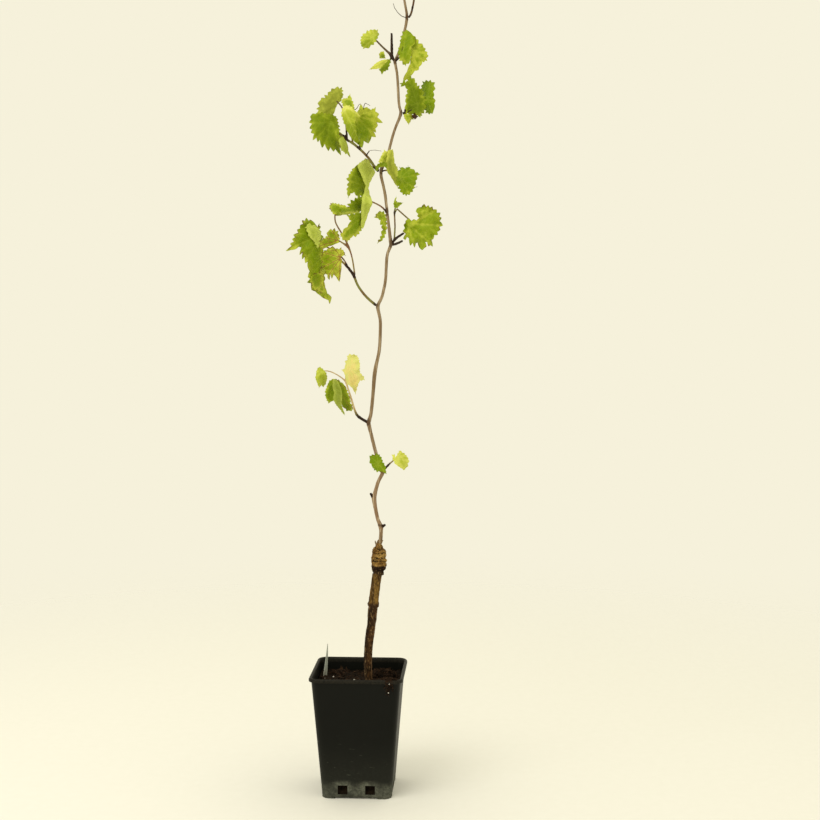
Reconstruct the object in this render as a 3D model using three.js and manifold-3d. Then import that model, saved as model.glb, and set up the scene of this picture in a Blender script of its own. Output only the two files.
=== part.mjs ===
// A young grafted grapevine in a square nursery pot, in millimetres, +Z up.
// The origin is the middle of the pot's flat underside. X runs along the pot's front, to the right,
// and Y runs to its back. The vine is a rootstock trunk, a graft union, one long zigzag cane with a
// joint at each bend, side shoots and leaf stalks, and leaf blades that hang from them.
import * as THREE from "three";
import { mergeVertices } from "three/addons/utils/BufferGeometryUtils.js";
import Module from "manifold-3d";

const wasm = await Module();
wasm.setup();

// Driving dimensions, in millimetres

const CLEARANCE = 0.3; // kept between pieces that touch

const POT_HEIGHT = 198;
const POT_RIM_WIDTH = 150;
const POT_TOP_WIDTH = 142; // outside, just under the rolled rim
const POT_FOOT_WIDTH = 112;
const POT_WALL = 1.6;
const RIM_HEIGHT = 7;
const RIM_ROUNDING = 1.5;
const CORNER_RADIUS_TOP = 14;
const CORNER_RADIUS_FOOT = 11;
const CORNER_STEPS = 3;
const FLOOR_TOP = 4.5;
const CHANNEL_HEIGHT = 2.5; // the shallow drain channels that cross under the pot
const CHANNEL_WIDTH = 68;
const CENTRE_PAD_WIDTH = 36;
const DRAIN_WIDTH = 13;
const DRAIN_HEIGHT = 15;
const DRAIN_FOOT = 7;
const DRAIN_SPREAD = 22; // from the middle of a face to the middle of each hole

const SOIL_LEVEL = 177;
const SOIL_UNEVENNESS = 2.5;
const SOIL_STEPS = 5;

const LABEL_WIDTH = 15;
const LABEL_THICKNESS = 1;
const LABEL_LENGTH = 85;
const LABEL_TOP = [-54, 24, 232]; // the middle of its top end
const LABEL_LEAN = 6; // degrees to the right
const LABEL_TURN = 72; // degrees from face on

const TRUNK_RADIUS_FOOT = 6.2;
const TRUNK_RADIUS_TOP = 7.4;
const ROOT_FLARE = 1.35; // the radius at the soil over the trunk's
const UNION_RADIUS = 12;
const UNION_FOOT = 352;
const UNION_TOP = 404;
const CANE_RADIUS_FOOT = 3.1;
const CANE_RADIUS_TOP = 1.5;
const JOINT_SWELL = 1.35; // a joint's radius over the cane's
const STALK_RADIUS = 0.9;
const TRUNK_SIDES = 10;
const CANE_SIDES = 7;
const STALK_SIDES = 5;

const LEAF_SIDES = 18;
const LEAF_RINGS = 4;
const LEAF_THICKNESS = 5;
const LEAF_CUP = 11; // how far a blade's tip falls behind its middle

// Materials

function finish(red, green, blue, roughness) {
  const color = new THREE.Color().setRGB(red, green, blue, THREE.SRGBColorSpace);
  return new THREE.MeshStandardMaterial({ color, roughness, metalness: 0 });
}

const blackPlastic = () => finish(0.1, 0.1, 0.09, 0.55);
const compostBrown = () => finish(0.17, 0.11, 0.08, 0.95);
const paleLabel = () => finish(0.68, 0.71, 0.64, 0.6);
const oldBark = () => finish(0.43, 0.3, 0.17, 0.9);
const caneBark = () => finish(0.58, 0.5, 0.39, 0.85);
const greenShoot = () => finish(0.36, 0.36, 0.17, 0.7);
const leafColours = {
  green: () => finish(0.42, 0.58, 0.12, 0.75),
  dark: () => finish(0.33, 0.49, 0.08, 0.75),
  lime: () => finish(0.68, 0.76, 0.3, 0.75),
  yellow: () => finish(0.92, 0.87, 0.5, 0.75),
};

// Solids

// A geometry with each place stored once.
function weld(geometry) {
  const bare = geometry.clone();
  bare.deleteAttribute("normal");
  bare.deleteAttribute("uv");
  return mergeVertices(bare, 1e-4);
}

// A closed geometry as a solid for joining and cutting.
function solidOf(geometry) {
  const merged = weld(geometry);
  return new wasm.Manifold(
    new wasm.Mesh({
      numProp: 3,
      vertProperties: new Float32Array(merged.attributes.position.array),
      triVerts: new Uint32Array(merged.index.array),
    }),
  );
}

function geometryOf(solid) {
  const mesh = solid.getMesh();
  const geometry = new THREE.BufferGeometry();
  geometry.setAttribute("position", new THREE.BufferAttribute(mesh.vertProperties, 3));
  geometry.setIndex(new THREE.BufferAttribute(mesh.triVerts, 1));
  geometry.computeVertexNormals();
  return geometry;
}

const bodyVolume = (body) => body.volume();

// The largest body that a cut leaves.
function largestBody(solid) {
  const bodies = solid.decompose();
  return bodies.reduce((best, body) => (bodyVolume(body) > bodyVolume(best) ? body : best));
}

function boxesMeet(a, b) {
  const one = a.boundingBox();
  const other = b.boundingBox();
  return [0, 1, 2].every((i) => one.min[i] < other.max[i] && other.min[i] < one.max[i]);
}

const vine = new THREE.Group();
const placed = []; // each piece so far, grown by the clearance

// Adds a piece, cut clear of the pieces placed before it.
function place(name, solid, grown, material) {
  let clear = solid;
  for (const other of placed) {
    if (boxesMeet(clear, other)) clear = clear.subtract(other);
  }
  clear = largestBody(clear);
  placed.push(grown.add(clear));
  const mesh = new THREE.Mesh(geometryOf(clear), material);
  mesh.name = name;
  vine.add(mesh);
}

// The pot

// A square with round corners, as one ring of points at a height.
function roundedSquare(width, radius, z) {
  const ring = [];
  const middle = width / 2 - radius;
  for (let corner = 0; corner < 4; corner++) {
    const start = (corner * Math.PI) / 2;
    const sideX = corner === 0 || corner === 3 ? 1 : -1;
    const sideY = corner < 2 ? 1 : -1;
    for (let step = 0; step <= CORNER_STEPS; step++) {
      const angle = start + (step / CORNER_STEPS) * (Math.PI / 2);
      const x = sideX * middle + radius * Math.cos(angle);
      const y = sideY * middle + radius * Math.sin(angle);
      ring.push(new THREE.Vector3(x, y, z));
    }
  }
  return ring;
}

// The closed skin through a stack of rings, with a fan over each end.
function skinThrough(rings) {
  const count = rings[0].length;
  const points = rings.flat();
  const middleOf = (ring) =>
    ring.reduce((sum, point) => sum.add(point), new THREE.Vector3()).divideScalar(ring.length);
  const firstMiddle = points.push(middleOf(rings[0])) - 1;
  const lastMiddle = points.push(middleOf(rings[rings.length - 1])) - 1;
  const faces = [];
  for (let row = 0; row + 1 < rings.length; row++) {
    for (let i = 0; i < count; i++) {
      const a = row * count + i;
      const b = row * count + ((i + 1) % count);
      faces.push(a, b, b + count, a, b + count, a + count);
    }
  }
  const lastRow = (rings.length - 1) * count;
  for (let i = 0; i < count; i++) {
    const next = (i + 1) % count;
    faces.push(firstMiddle, next, i, lastMiddle, lastRow + i, lastRow + next);
  }
  const geometry = new THREE.BufferGeometry().setFromPoints(points);
  geometry.setIndex(faces);
  return geometry;
}

// The pot's outside width and corner radius at a height.
function potWidthAt(z) {
  const share = z / (POT_HEIGHT - RIM_HEIGHT);
  return THREE.MathUtils.lerp(POT_FOOT_WIDTH, POT_TOP_WIDTH, Math.min(share, 1));
}

function potRadiusAt(z) {
  return THREE.MathUtils.lerp(CORNER_RADIUS_FOOT, CORNER_RADIUS_TOP, z / POT_HEIGHT);
}

// One ring of the pot, moved in from the outside of its wall.
function potRing(z, inward) {
  return roundedSquare(potWidthAt(z) - 2 * inward, potRadiusAt(z) - inward, z);
}

function block(width, depth, height, x, y, z) {
  const box = new THREE.BoxGeometry(width, depth, height);
  return solidOf(box.translate(x, y, z));
}

function makePot() {
  const bandFoot = POT_HEIGHT - RIM_HEIGHT;
  const rimRing = (z, inward) =>
    roundedSquare(POT_RIM_WIDTH - 2 * inward, CORNER_RADIUS_TOP + 2 - inward, z);
  const outside = solidOf(
    skinThrough([
      potRing(0, 0),
      potRing(bandFoot, 0),
      rimRing(bandFoot, 0),
      rimRing(POT_HEIGHT - RIM_ROUNDING, 0),
      rimRing(POT_HEIGHT, RIM_ROUNDING),
    ]),
  );
  const hollow = solidOf(
    skinThrough([potRing(FLOOR_TOP, POT_WALL), potRing(POT_HEIGHT + 5, POT_WALL)]),
  );
  let pot = outside.subtract(hollow);
  const reach = POT_RIM_WIDTH;
  const channel = (width, depth) => block(width, depth, 2 * CHANNEL_HEIGHT, 0, 0, 0);
  const pad = block(CENTRE_PAD_WIDTH, CENTRE_PAD_WIDTH, 2 * FLOOR_TOP, 0, 0, 0);
  pot = pot.subtract(channel(reach, CHANNEL_WIDTH).add(channel(CHANNEL_WIDTH, reach)).subtract(pad));
  const holeMiddle = DRAIN_FOOT + DRAIN_HEIGHT / 2;
  for (const side of [-1, 1]) {
    const across = side * DRAIN_SPREAD;
    pot = pot.subtract(block(DRAIN_WIDTH, reach, DRAIN_HEIGHT, across, 0, holeMiddle));
    pot = pot.subtract(block(reach, DRAIN_WIDTH, DRAIN_HEIGHT, 0, across, holeMiddle));
  }
  return pot;
}

// Compost fills the pot to a gently uneven top, flat where the trunk stands.
function soilHeight(x, y) {
  const [trunkX, trunkY] = TRUNK_PATH[0];
  const fromTrunk = Math.hypot(x - trunkX, y - trunkY);
  const settle = THREE.MathUtils.smoothstep(fromTrunk, 14, 45);
  const wave = Math.sin(x * 0.071 + 1.1) * Math.cos(y * 0.063 - 0.6);
  return SOIL_LEVEL + settle * (SOIL_UNEVENNESS * wave - 1);
}

function makeCompost() {
  const inset = POT_WALL + CLEARANCE;
  const rings = [potRing(FLOOR_TOP + CLEARANCE, inset), potRing(SOIL_LEVEL - 8, inset)];
  for (let step = 0; step < SOIL_STEPS; step++) {
    const share = 1 - step / SOIL_STEPS;
    const [trunkX, trunkY] = TRUNK_PATH[0];
    const edge = potRing(SOIL_LEVEL - 3, inset);
    for (const point of edge) {
      point.x = THREE.MathUtils.lerp(trunkX, point.x, share);
      point.y = THREE.MathUtils.lerp(trunkY, point.y, share);
      point.z = soilHeight(point.x, point.y);
    }
    rings.push(edge);
  }
  return solidOf(skinThrough(rings));
}

// A blank plant label: a flat strip with a pointed foot, pushed into the compost.
function makeLabel(grow) {
  const half = LABEL_WIDTH / 2 + grow;
  const shoulder = LABEL_WIDTH * 0.9;
  const outline = new THREE.Shape();
  outline.moveTo(0, -LABEL_LENGTH - grow);
  outline.lineTo(half, shoulder - LABEL_LENGTH);
  outline.lineTo(half, -3);
  outline.quadraticCurveTo(half, grow, half - 3, grow);
  outline.lineTo(3 - half, grow);
  outline.quadraticCurveTo(-half, grow, -half, -3);
  outline.lineTo(-half, shoulder - LABEL_LENGTH);
  outline.closePath();
  const depth = LABEL_THICKNESS + 2 * grow;
  const strip = new THREE.ExtrudeGeometry(outline, { depth, bevelEnabled: false, curveSegments: 3 });
  strip.translate(0, 0, -depth / 2);
  strip.rotateX(Math.PI / 2);
  strip.rotateZ(THREE.MathUtils.degToRad(LABEL_TURN));
  strip.rotateY(THREE.MathUtils.degToRad(LABEL_LEAN));
  return solidOf(strip.translate(...LABEL_TOP));
}

// Limbs

// A round limb along a path of [x, y, z] places. Its radius goes from the foot's to the tip's, is
// wider at the very foot by the flare and swells at the places whose numbers are in joints. grow
// adds the clearance all over.
function makeLimb(path, limb, grow = 0) {
  const { foot, tip, flare = 1, joints = [], swell = JOINT_SWELL, sides = CANE_SIDES, between = 1 } = limb;
  const places = path.map((place) => new THREE.Vector3(...place));
  const steps = between + 1;
  const centres = [];
  const radii = [];
  places.forEach((place, i) => {
    for (let step = 0; step < (i + 1 < places.length ? steps : 1); step++) {
      const along = (i + step / steps) / (places.length - 1);
      const plain = THREE.MathUtils.lerp(foot, tip, along) * (along === 0 ? flare : 1);
      const isJoint = step === 0 && joints.includes(i);
      centres.push(step === 0 ? place : place.clone().lerp(places[i + 1], step / steps));
      radii.push(plain * (isJoint ? swell : 1) + grow);
    }
  });
  const last = centres.length - 1;
  const headings = centres.map((_, i) => {
    const ahead = centres[Math.min(i + 1, last)];
    const behind = centres[Math.max(i - 1, 0)];
    return ahead.clone().sub(behind).normalize();
  });
  centres[0].addScaledVector(headings[0], -grow);
  centres[last].addScaledVector(headings[last], grow);
  let across = new THREE.Vector3(1, 0.2, 0.1);
  const rings = centres.map((centre, i) => {
    const heading = headings[i];
    across = across.clone().addScaledVector(heading, -across.dot(heading)).normalize();
    const up = heading.clone().cross(across);
    const ring = [];
    for (let side = 0; side < sides; side++) {
      const angle = (side / sides) * 2 * Math.PI;
      const point = centre.clone();
      point.addScaledVector(across, radii[i] * Math.cos(angle));
      point.addScaledVector(up, radii[i] * Math.sin(angle));
      ring.push(point);
    }
    return ring;
  });
  return solidOf(skinThrough(rings));
}

function placeLimb(name, path, limb, material) {
  place(name, makeLimb(path, limb), makeLimb(path, limb, CLEARANCE), material);
}

// Leaf blades

// How far a lobed leaf's edge lies from its stalk, at an angle in degrees from its tip.
function leafReach(angle) {
  const lobes = [
    [0, 1],
    [60, 0.84],
    [-60, 0.84],
    [120, 0.66],
    [-120, 0.66],
  ];
  let reach = 0.42;
  for (const [heading, length] of lobes) {
    const off = Math.abs(THREE.MathUtils.euclideanModulo(angle - heading + 180, 360) - 180);
    reach = Math.max(reach, length * (1 - 0.3 * Math.min(off / 28, 1)));
  }
  const fromStalk = 180 - Math.abs(THREE.MathUtils.euclideanModulo(angle + 180, 360) - 180);
  return fromStalk < 20 ? 0.2 : reach;
}

// A leaf blade as a thick uneven lens in its lobed outline. It fills the box from left to right and
// from low to high, and in depth it passes through its seat. point is where the tip heads, in
// degrees from +X towards +Z; turn swings the blade about the vertical and lean tips it over.
function makeLeaf({ x, z, seat, point, turn, lean }) {
  const lens = weld(new THREE.SphereGeometry(1, LEAF_SIDES, LEAF_RINGS));
  const position = lens.attributes.position;
  for (let i = 0; i < position.count; i++) {
    const angle = Math.atan2(position.getZ(i), position.getX(i));
    const inPlane = Math.hypot(position.getX(i), position.getZ(i));
    const reach = leafReach(THREE.MathUtils.radToDeg(angle)) * inPlane;
    const lump = 1 + 0.25 * Math.sin(3 * angle + x[0]);
    const rise = position.getY(i) * lump - (2 * LEAF_CUP * reach * reach) / LEAF_THICKNESS;
    position.setXYZ(i, reach * Math.cos(angle), rise, reach * Math.sin(angle));
  }
  const size = Math.hypot(x[1] - x[0], z[1] - z[0]) / 2;
  lens.scale(size, LEAF_THICKNESS / 2, size);
  lens.rotateX(Math.PI);
  lens.rotateY(THREE.MathUtils.degToRad(-point));
  lens.rotateX(THREE.MathUtils.degToRad(lean));
  lens.rotateZ(THREE.MathUtils.degToRad(turn));
  lens.computeBoundingBox();
  const box = lens.boundingBox;
  const middle = box.getCenter(new THREE.Vector3());
  const extent = box.getSize(new THREE.Vector3());
  lens.translate(-middle.x, -middle.y, -middle.z);
  lens.scale((x[1] - x[0]) / extent.x, 1, (z[1] - z[0]) / extent.z);
  lens.translate((x[0] + x[1]) / 2, 0, (z[0] + z[1]) / 2);
  return lens.translate(0, seat[1] - depthAt(position, seat), 0);
}

// The depth of a blade's middle at a seat's place across and up.
function depthAt(position, seat) {
  let sum = 0;
  let weights = 0;
  for (let i = 0; i < position.count; i++) {
    const far = Math.hypot(position.getX(i) - seat[0], position.getZ(i) - seat[2]);
    const weight = 1 / (far + 0.5) ** 4;
    sum += weight * position.getY(i);
    weights += weight;
  }
  return sum / weights;
}

// A welded shape pushed out along its normals by a little more than the clearance.
function grown(shape) {
  const swollen = shape.clone();
  swollen.computeVertexNormals();
  const { position, normal } = swollen.attributes;
  const push = CLEARANCE * 1.5;
  for (let i = 0; i < position.count; i++) {
    const x = position.getX(i) + push * normal.getX(i);
    const y = position.getY(i) + push * normal.getY(i);
    position.setXYZ(i, x, y, position.getZ(i) + push * normal.getZ(i));
  }
  return swollen;
}

// The vine's places, in millimetres: [x, y, z] from the foot up. A joint is a place where the cane
// bends and a leaf or a side shoot sits.

const TRUNK_PATH = [
  [15, 0, SOIL_LEVEL + CLEARANCE],
  [15, 0, SOIL_LEVEL + 9],
  [14, 1, 226],
  [20, 2, 270],
  [23, 3, 305],
  [29, 3, UNION_FOOT],
];

const CANE_LOWER = [
  [34, 2, UNION_TOP - 6],
  [36, 1, 419],
  [36, -1, 430],
  [30, 0, 444],
  [24, 3, 476],
  [31, 1, 503],
  [41, -3, 521],
  [29, -2, 546],
  [22, 0, 573],
  [16, -3, 599],
];

const CANE_MIDDLE = [
  [16, -3, 599],
  [21, -1, 614],
  [26, 3, 681],
  [34, 2, 715],
  [36, 1, 762],
  [30, 4, 785],
  [38, 2, 799],
  [44, 0, 825],
  [46, -2, 866],
  [53, -4, 882],
];

const CANE_UPPER = [
  [53, -4, 882],
  [47, -1, 930],
  [43, 1, 965],
  [35, 0, 997],
  [47, 0, 1021],
  [57, 2, 1060],
  [69, 5, 1089],
  [65, 3, 1101],
  [63, 0, 1148],
  [59, -3, 1168],
];

const CANE_TOP = [
  [59, -3, 1168],
  [67, -1, 1187],
  [79, 3, 1236],
  [74, 2, 1262],
  [70, 0, 1292],
  [76, -4, 1316],
  [72, -1, 1346],
  [62, 3, 1374],
  [63, 1, 1396],
  [58, -2, 1414],
];

// Leaf blades: the sides of each one's box, the seat where its stalk meets it, and how it hangs.

const LEAVES = {
  leaf_c_small: { x: [18, 45], z: [514, 549], seat: [33, -7, 539], point: -115, turn: 15, lean: 12 },
  leaf_c_lime: { x: [54, 82], z: [524, 554], seat: [62, -8, 543], point: -25, turn: 20, lean: -15 },
  leaf_d_yellow: { x: [-20, 15], z: [644, 709], seat: [-12, -19, 688], point: -80, turn: -15, lean: 8 },
  leaf_d_oval: { x: [-68, -49], z: [653, 689], seat: [-55, -14, 682], point: -100, turn: 30, lean: 10 },
  leaf_d_folded: { x: [-55, -10], z: [610, 670], seat: [-19, -22, 657], point: -95, turn: 25, lean: 10 },
  leaf_g_tan: { x: [-58, -26], z: [826, 879], seat: [-37, 25, 864], point: -95, turn: -20, lean: 10 },
  leaf_g_long: { x: [-115, -46], z: [795, 924], seat: [-70, 38, 886], point: -75, turn: 25, lean: -8 },
  leaf_g_upper: { x: [-64, -29], z: [877, 909], seat: [-38, 13, 893], point: -160, turn: 20, lean: 20 },
  leaf_n_rolled: { x: [-49, 3], z: [927, 949], seat: [-38, 22, 938], point: 5, turn: -20, lean: 45 },
  leaf_m_hanging: { x: [-30, 25], z: [886, 1019], seat: [8, -13, 955], point: -105, turn: 35, lean: 0 },
  leaf_h_sprout: { x: [54, 73], z: [943, 962], seat: [62, -7, 950], point: 60, turn: 20, lean: 0 },
  leaf_h_right: { x: [72, 134], z: [875, 946], seat: [88, -20, 916], point: -50, turn: -15, lean: 12 },
  leaf_h_back: { x: [25, 53], z: [885, 935], seat: [43, 3, 912], point: -110, turn: -15, lean: -10 },
  leaf_i_dark: { x: [-75, -28], z: [1026, 1092], seat: [-40, -31, 1066], point: -120, turn: 20, lean: 12 },
  leaf_i_tail: { x: [-29, -13], z: [1023, 1055], seat: [-21, -25, 1045], point: -100, turn: 40, lean: 0 },
  leaf_i_lime: { x: [-24, 0], z: [1071, 1117], seat: [-12, -32, 1084], point: 85, turn: -25, lean: -8 },
  leaf_i_tip: { x: [-65, -22], z: [1088, 1132], seat: [-35, 16, 1110], point: -170, turn: 10, lean: -35 },
  leaf_i_right: { x: [-16, 38], z: [1037, 1098], seat: [11, 6, 1060], point: -40, turn: -15, lean: 10 },
  leaf_k_front: { x: [33, 67], z: [964, 1033], seat: [50, -6, 1008], point: -70, turn: 30, lean: 8 },
  leaf_p_round: { x: [63, 98], z: [959, 1006], seat: [76, -11, 988], point: -60, turn: -20, lean: 10 },
  leaf_j_dark: { x: [75, 111], z: [1084, 1147], seat: [88, 11, 1100], point: -75, turn: 25, lean: 10 },
  leaf_j_right: { x: [101, 123], z: [1086, 1140], seat: [109, 16, 1112], point: -85, turn: -35, lean: 10 },
  leaf_j_low: { x: [73, 86], z: [1068, 1087], seat: [79, 4, 1080], point: -80, turn: 30, lean: 0 },
  leaf_k_tip: { x: [4, 34], z: [1188, 1221], seat: [25, 9, 1207], point: -170, turn: 15, lean: -10 },
  leaf_k_bud: { x: [33, 44], z: [1174, 1190], seat: [39, 1, 1186], point: -100, turn: 20, lean: 0 },
  leaf_k_low: { x: [19, 54], z: [1148, 1173], seat: [40, -6, 1162], point: -160, turn: 10, lean: 15 },
  leaf_k_right: { x: [68, 112], z: [1146, 1218], seat: [82, -16, 1186], point: -60, turn: -20, lean: 12 },
  leaf_l_tip: { x: [100, 142], z: [1282, 1332], seat: [110, -18, 1315], point: -45, turn: -15, lean: 15 },
  leaf_m_left: { x: [16, 58], z: [1296, 1346], seat: [46, -24, 1328], point: -130, turn: 20, lean: 15 },
  leaf_m_back: { x: [88, 128], z: [1338, 1386], seat: [99, 27, 1366], point: -40, turn: 30, lean: -12 },
  leaf_n_left: { x: [16, 48], z: [1366, 1406], seat: [36, 19, 1387], point: -160, turn: -20, lean: 10 },
  leaf_tip: { x: [46, 74], z: [1412, 1448], seat: [59, -2, 1422], point: 80, turn: 25, lean: 0 },
};

const LEAF_TINTS = {
  dark: ["leaf_d_folded", "leaf_g_upper", "leaf_h_back", "leaf_i_dark", "leaf_j_dark", "leaf_m_back"],
  lime: [
    "leaf_c_lime",
    "leaf_d_oval",
    "leaf_h_sprout",
    "leaf_i_tail",
    "leaf_i_lime",
    "leaf_i_tip",
    "leaf_k_front",
    "leaf_j_low",
    "leaf_k_tip",
    "leaf_n_left",
    "leaf_tip",
  ],
  yellow: ["leaf_d_yellow", "leaf_g_tan"],
};

// The cane, in four lengths that meet at its joints, with the short stubs on its joints.

const at = (name) => LEAVES[name].seat;
const JOINT_A = CANE_LOWER[2];
const JOINT_B = CANE_LOWER[4];
const JOINT_C = CANE_LOWER[6];
const JOINT_D = CANE_MIDDLE[0];
const JOINT_G = CANE_MIDDLE[5];
const JOINT_H = CANE_UPPER[0];
const JOINT_I = CANE_UPPER[3];
const JOINT_J = CANE_UPPER[6];
const JOINT_K = CANE_TOP[0];
const JOINT_L = CANE_TOP[2];
const JOINT_M = CANE_TOP[5];
const JOINT_N = CANE_TOP[7];

// A short dry spur or a bud scar.
const stub = (...path) => [path, { foot: 1.7, tip: 1.1, sides: STALK_SIDES, between: 0 }];

// A thin leaf stalk.
const stalk = (...path) => [
  path,
  { foot: STALK_RADIUS * 1.2, tip: STALK_RADIUS, sides: STALK_SIDES, between: 0 },
];

// A young woody shoot, swollen at its last joint.
const shoot = (foot, tip, ...path) => [
  path,
  { foot, tip, joints: [path.length - 3], swell: 1.2, sides: STALK_SIDES + 1, between: 0 },
];

const CANES = {
  main_cane_lower: [CANE_LOWER, [2, 4, 6, 9], stub(JOINT_A, [43, -3, 434]), stub(JOINT_B, [19, 1, 484])],
  main_cane_middle: [CANE_MIDDLE, [0, 2, 5, 9]],
  main_cane_upper: [CANE_UPPER, [0, 3, 6, 9], stub(JOINT_I, [41, 3, 1007])],
  main_cane_top: [[...CANE_TOP, at("leaf_tip")], [0, 2, 5, 7]],
};

// Side shoots with their leaf stalks. Each starts inside the limb that carries it and is cut clear.

const FORK_D = [-15, -17, 655];
const FORK_D_UPPER = [-20, -18, 668];
const FORK_G = [-7, 19, 833];
const FORK_G_TIP = [-20, 22, 850];
const FORK_G_UPPER = [-16, 15, 880];
const PATH_G = [FORK_G, FORK_G_TIP];
const FORK_H = [58, -7, 932];
const FORK_I = [3, -16, 1033];
const FORK_I_MIDDLE = [-6, -19, 1040];
const FORK_I_UPPER = [-15, -21, 1045];
const PATH_I = [FORK_I, FORK_I_MIDDLE, FORK_I_UPPER];
const FORK_J = [75, 6, 1089];
const FORK_K = [54, -1, 1176];
const PATH_L = [[84, 0, 1240], [87, -3, 1250], [90, -8, 1266], [96, -13, 1292]];

const SHOOTS = {
  twig_c: [stalk(JOINT_C, [45, -5, 528], [52, -7, 535], at("leaf_c_lime"))],
  shoot_d: [
    shoot(1.9, 1.1, JOINT_D, [-2, -8, 609], [-6, -12, 623], [-10, -15, 638], FORK_D, FORK_D_UPPER),
    stalk(FORK_D, [-20, -19, 676], at("leaf_d_yellow")),
    stalk(FORK_D_UPPER, [-31, -17, 676], [-46, -15, 683], at("leaf_d_oval")),
  ],
  shoot_g: [
    shoot(2.1, 1.3, JOINT_G, [17, 9, 795], [6, 13, 806], [-5, 17, 822], ...PATH_G, at("leaf_g_tan")),
  ],
  stalk_g_long: [stalk(FORK_G_TIP, [-26, 32, 862], [-48, 37, 879], at("leaf_g_long"))],
  stalk_g_upper: [
    stalk(FORK_G, [-10, 17, 860], FORK_G_UPPER, at("leaf_g_upper")),
    stalk(FORK_G_UPPER, [-30, 26, 905], [-41, 25, 920], at("leaf_n_rolled")),
  ],
  stalk_m: [stalk(CANE_UPPER[1], [40, -7, 942], [22, -11, 950], at("leaf_m_hanging"))],
  shoot_h: [
    stub(JOINT_H, [61, -6, 883], [71, -7, 888]),
    stub(JOINT_H, [60, -6, 892], [73, -8, 900]),
    stalk([58, -6, 890], [60, -7, 912], FORK_H, at("leaf_h_sprout")),
    stalk(FORK_H, [63, -9, 938], [72, -14, 930], at("leaf_h_right")),
  ],
  shoot_i: [
    shoot(2, 1.2, JOINT_I, [27, -4, 1003], [20, -10, 1017], ...PATH_I, at("leaf_i_dark")),
    stalk(FORK_I_UPPER, [-18, -6, 1075], [-24, 10, 1100], at("leaf_i_tip")),
    stalk(FORK_I_MIDDLE, [-9, -27, 1062], at("leaf_i_lime")),
    stalk(FORK_I, [9, -5, 1048], at("leaf_i_right")),
  ],
  stalk_p: [stalk(JOINT_I, [50, -5, 1001], at("leaf_p_round"))],
  spur_j: [
    stub(JOINT_J, FORK_J, at("leaf_j_dark")),
    stub(FORK_J, [76, 2, 1097]),
    stalk(FORK_J, [96, 15, 1100], at("leaf_j_right")),
    stalk(FORK_J, at("leaf_j_low")),
  ],
  shoot_k: [
    shoot(1.7, 1, JOINT_K, [51, 0, 1181], [41, 3, 1190], at("leaf_k_tip")),
    stub(FORK_K, [54, -1, 1212]),
    stalk(FORK_K, [50, -5, 1167], at("leaf_k_low")),
  ],
  stalk_k_right: [stalk(JOINT_K, [66, -9, 1173], at("leaf_k_right"))],
  branch_l: [shoot(1.6, 0.9, JOINT_L, ...PATH_L, at("leaf_l_tip"))],
  stalk_m_left: [stalk(JOINT_M, [62, -14, 1322], at("leaf_m_left"))],
  stalk_m_back: [stalk(CANE_TOP[6], [84, 14, 1356], at("leaf_m_back"))],
  stalk_n: [stalk(JOINT_N, [50, 12, 1384], at("leaf_n_left"))],
};

// Builds the whole assembly

const potSolid = makePot();
const labelSolid = makeLabel(0);
const labelGrown = makeLabel(CLEARANCE);
place("plant_label", labelSolid, labelGrown, paleLabel());
place("compost", makeCompost(), makeCompost(), compostBrown());
place("pot", potSolid, potSolid, blackPlastic());

placeLimb(
  "rootstock_trunk",
  TRUNK_PATH,
  {
    foot: TRUNK_RADIUS_FOOT,
    tip: TRUNK_RADIUS_TOP,
    flare: ROOT_FLARE,
    joints: [4],
    swell: 1.15,
    sides: TRUNK_SIDES,
  },
  oldBark(),
);

// The graft union is a knobbly burl, wider than the stems that it joins.
function makeUnion(grow = 0) {
  const profile = [
    [0, 0],
    [0.66, 0],
    [0.95, 0.2],
    [1, 0.38],
    [0.86, 0.5],
    [0.98, 0.64],
    [0.92, 0.82],
    [0.6, 0.96],
    [0, 1],
  ];
  const height = UNION_TOP - UNION_FOOT;
  const points = profile.map(([r, h]) => new THREE.Vector2(r * UNION_RADIUS, h * height));
  const burl = weld(new THREE.LatheGeometry(points, 12));
  const position = burl.attributes.position;
  for (let i = 0; i < position.count; i++) {
    const angle = Math.atan2(position.getZ(i), position.getX(i));
    const high = position.getY(i) / height;
    const lump = 1 + 0.09 * Math.sin(2 * angle + 5 * high) + 0.06 * Math.sin(5 * angle - 9 * high);
    const wide = lump + grow / UNION_RADIUS;
    position.setX(i, position.getX(i) * wide);
    position.setZ(i, position.getZ(i) * wide);
    position.setY(i, position.getY(i) + (2 * high - 1) * grow);
  }
  burl.rotateX(Math.PI / 2);
  return solidOf(burl.translate(32, 3, UNION_FOOT));
}
place("graft_union", makeUnion(), makeUnion(CLEARANCE), oldBark());

// Several limbs as one solid, as a spur with its prongs.
function makeForked(limbs, grow = 0) {
  return limbs
    .map(([path, limb]) => makeLimb(path, limb, grow))
    .reduce((whole, limb) => whole.add(limb));
}

Object.values(CANES).forEach(([path, joints, ...stubs], i, canes) => {
  const radiusAt = (end) => THREE.MathUtils.lerp(CANE_RADIUS_FOOT, CANE_RADIUS_TOP, end / canes.length);
  const limbs = [[path, { foot: radiusAt(i), tip: radiusAt(i + 1), joints }], ...stubs];
  place(Object.keys(CANES)[i], makeForked(limbs), makeForked(limbs, CLEARANCE), caneBark());
});

for (const [name, limbs] of Object.entries(SHOOTS)) {
  place(name, makeForked(limbs), makeForked(limbs, CLEARANCE), greenShoot());
}

for (const [name, leaf] of Object.entries(LEAVES)) {
  const blade = makeLeaf(leaf);
  const tint = Object.keys(LEAF_TINTS).find((key) => LEAF_TINTS[key].includes(name)) ?? "green";
  place(name, solidOf(blade), solidOf(grown(blade)), leafColours[tint]());
}

export default vine;
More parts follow.
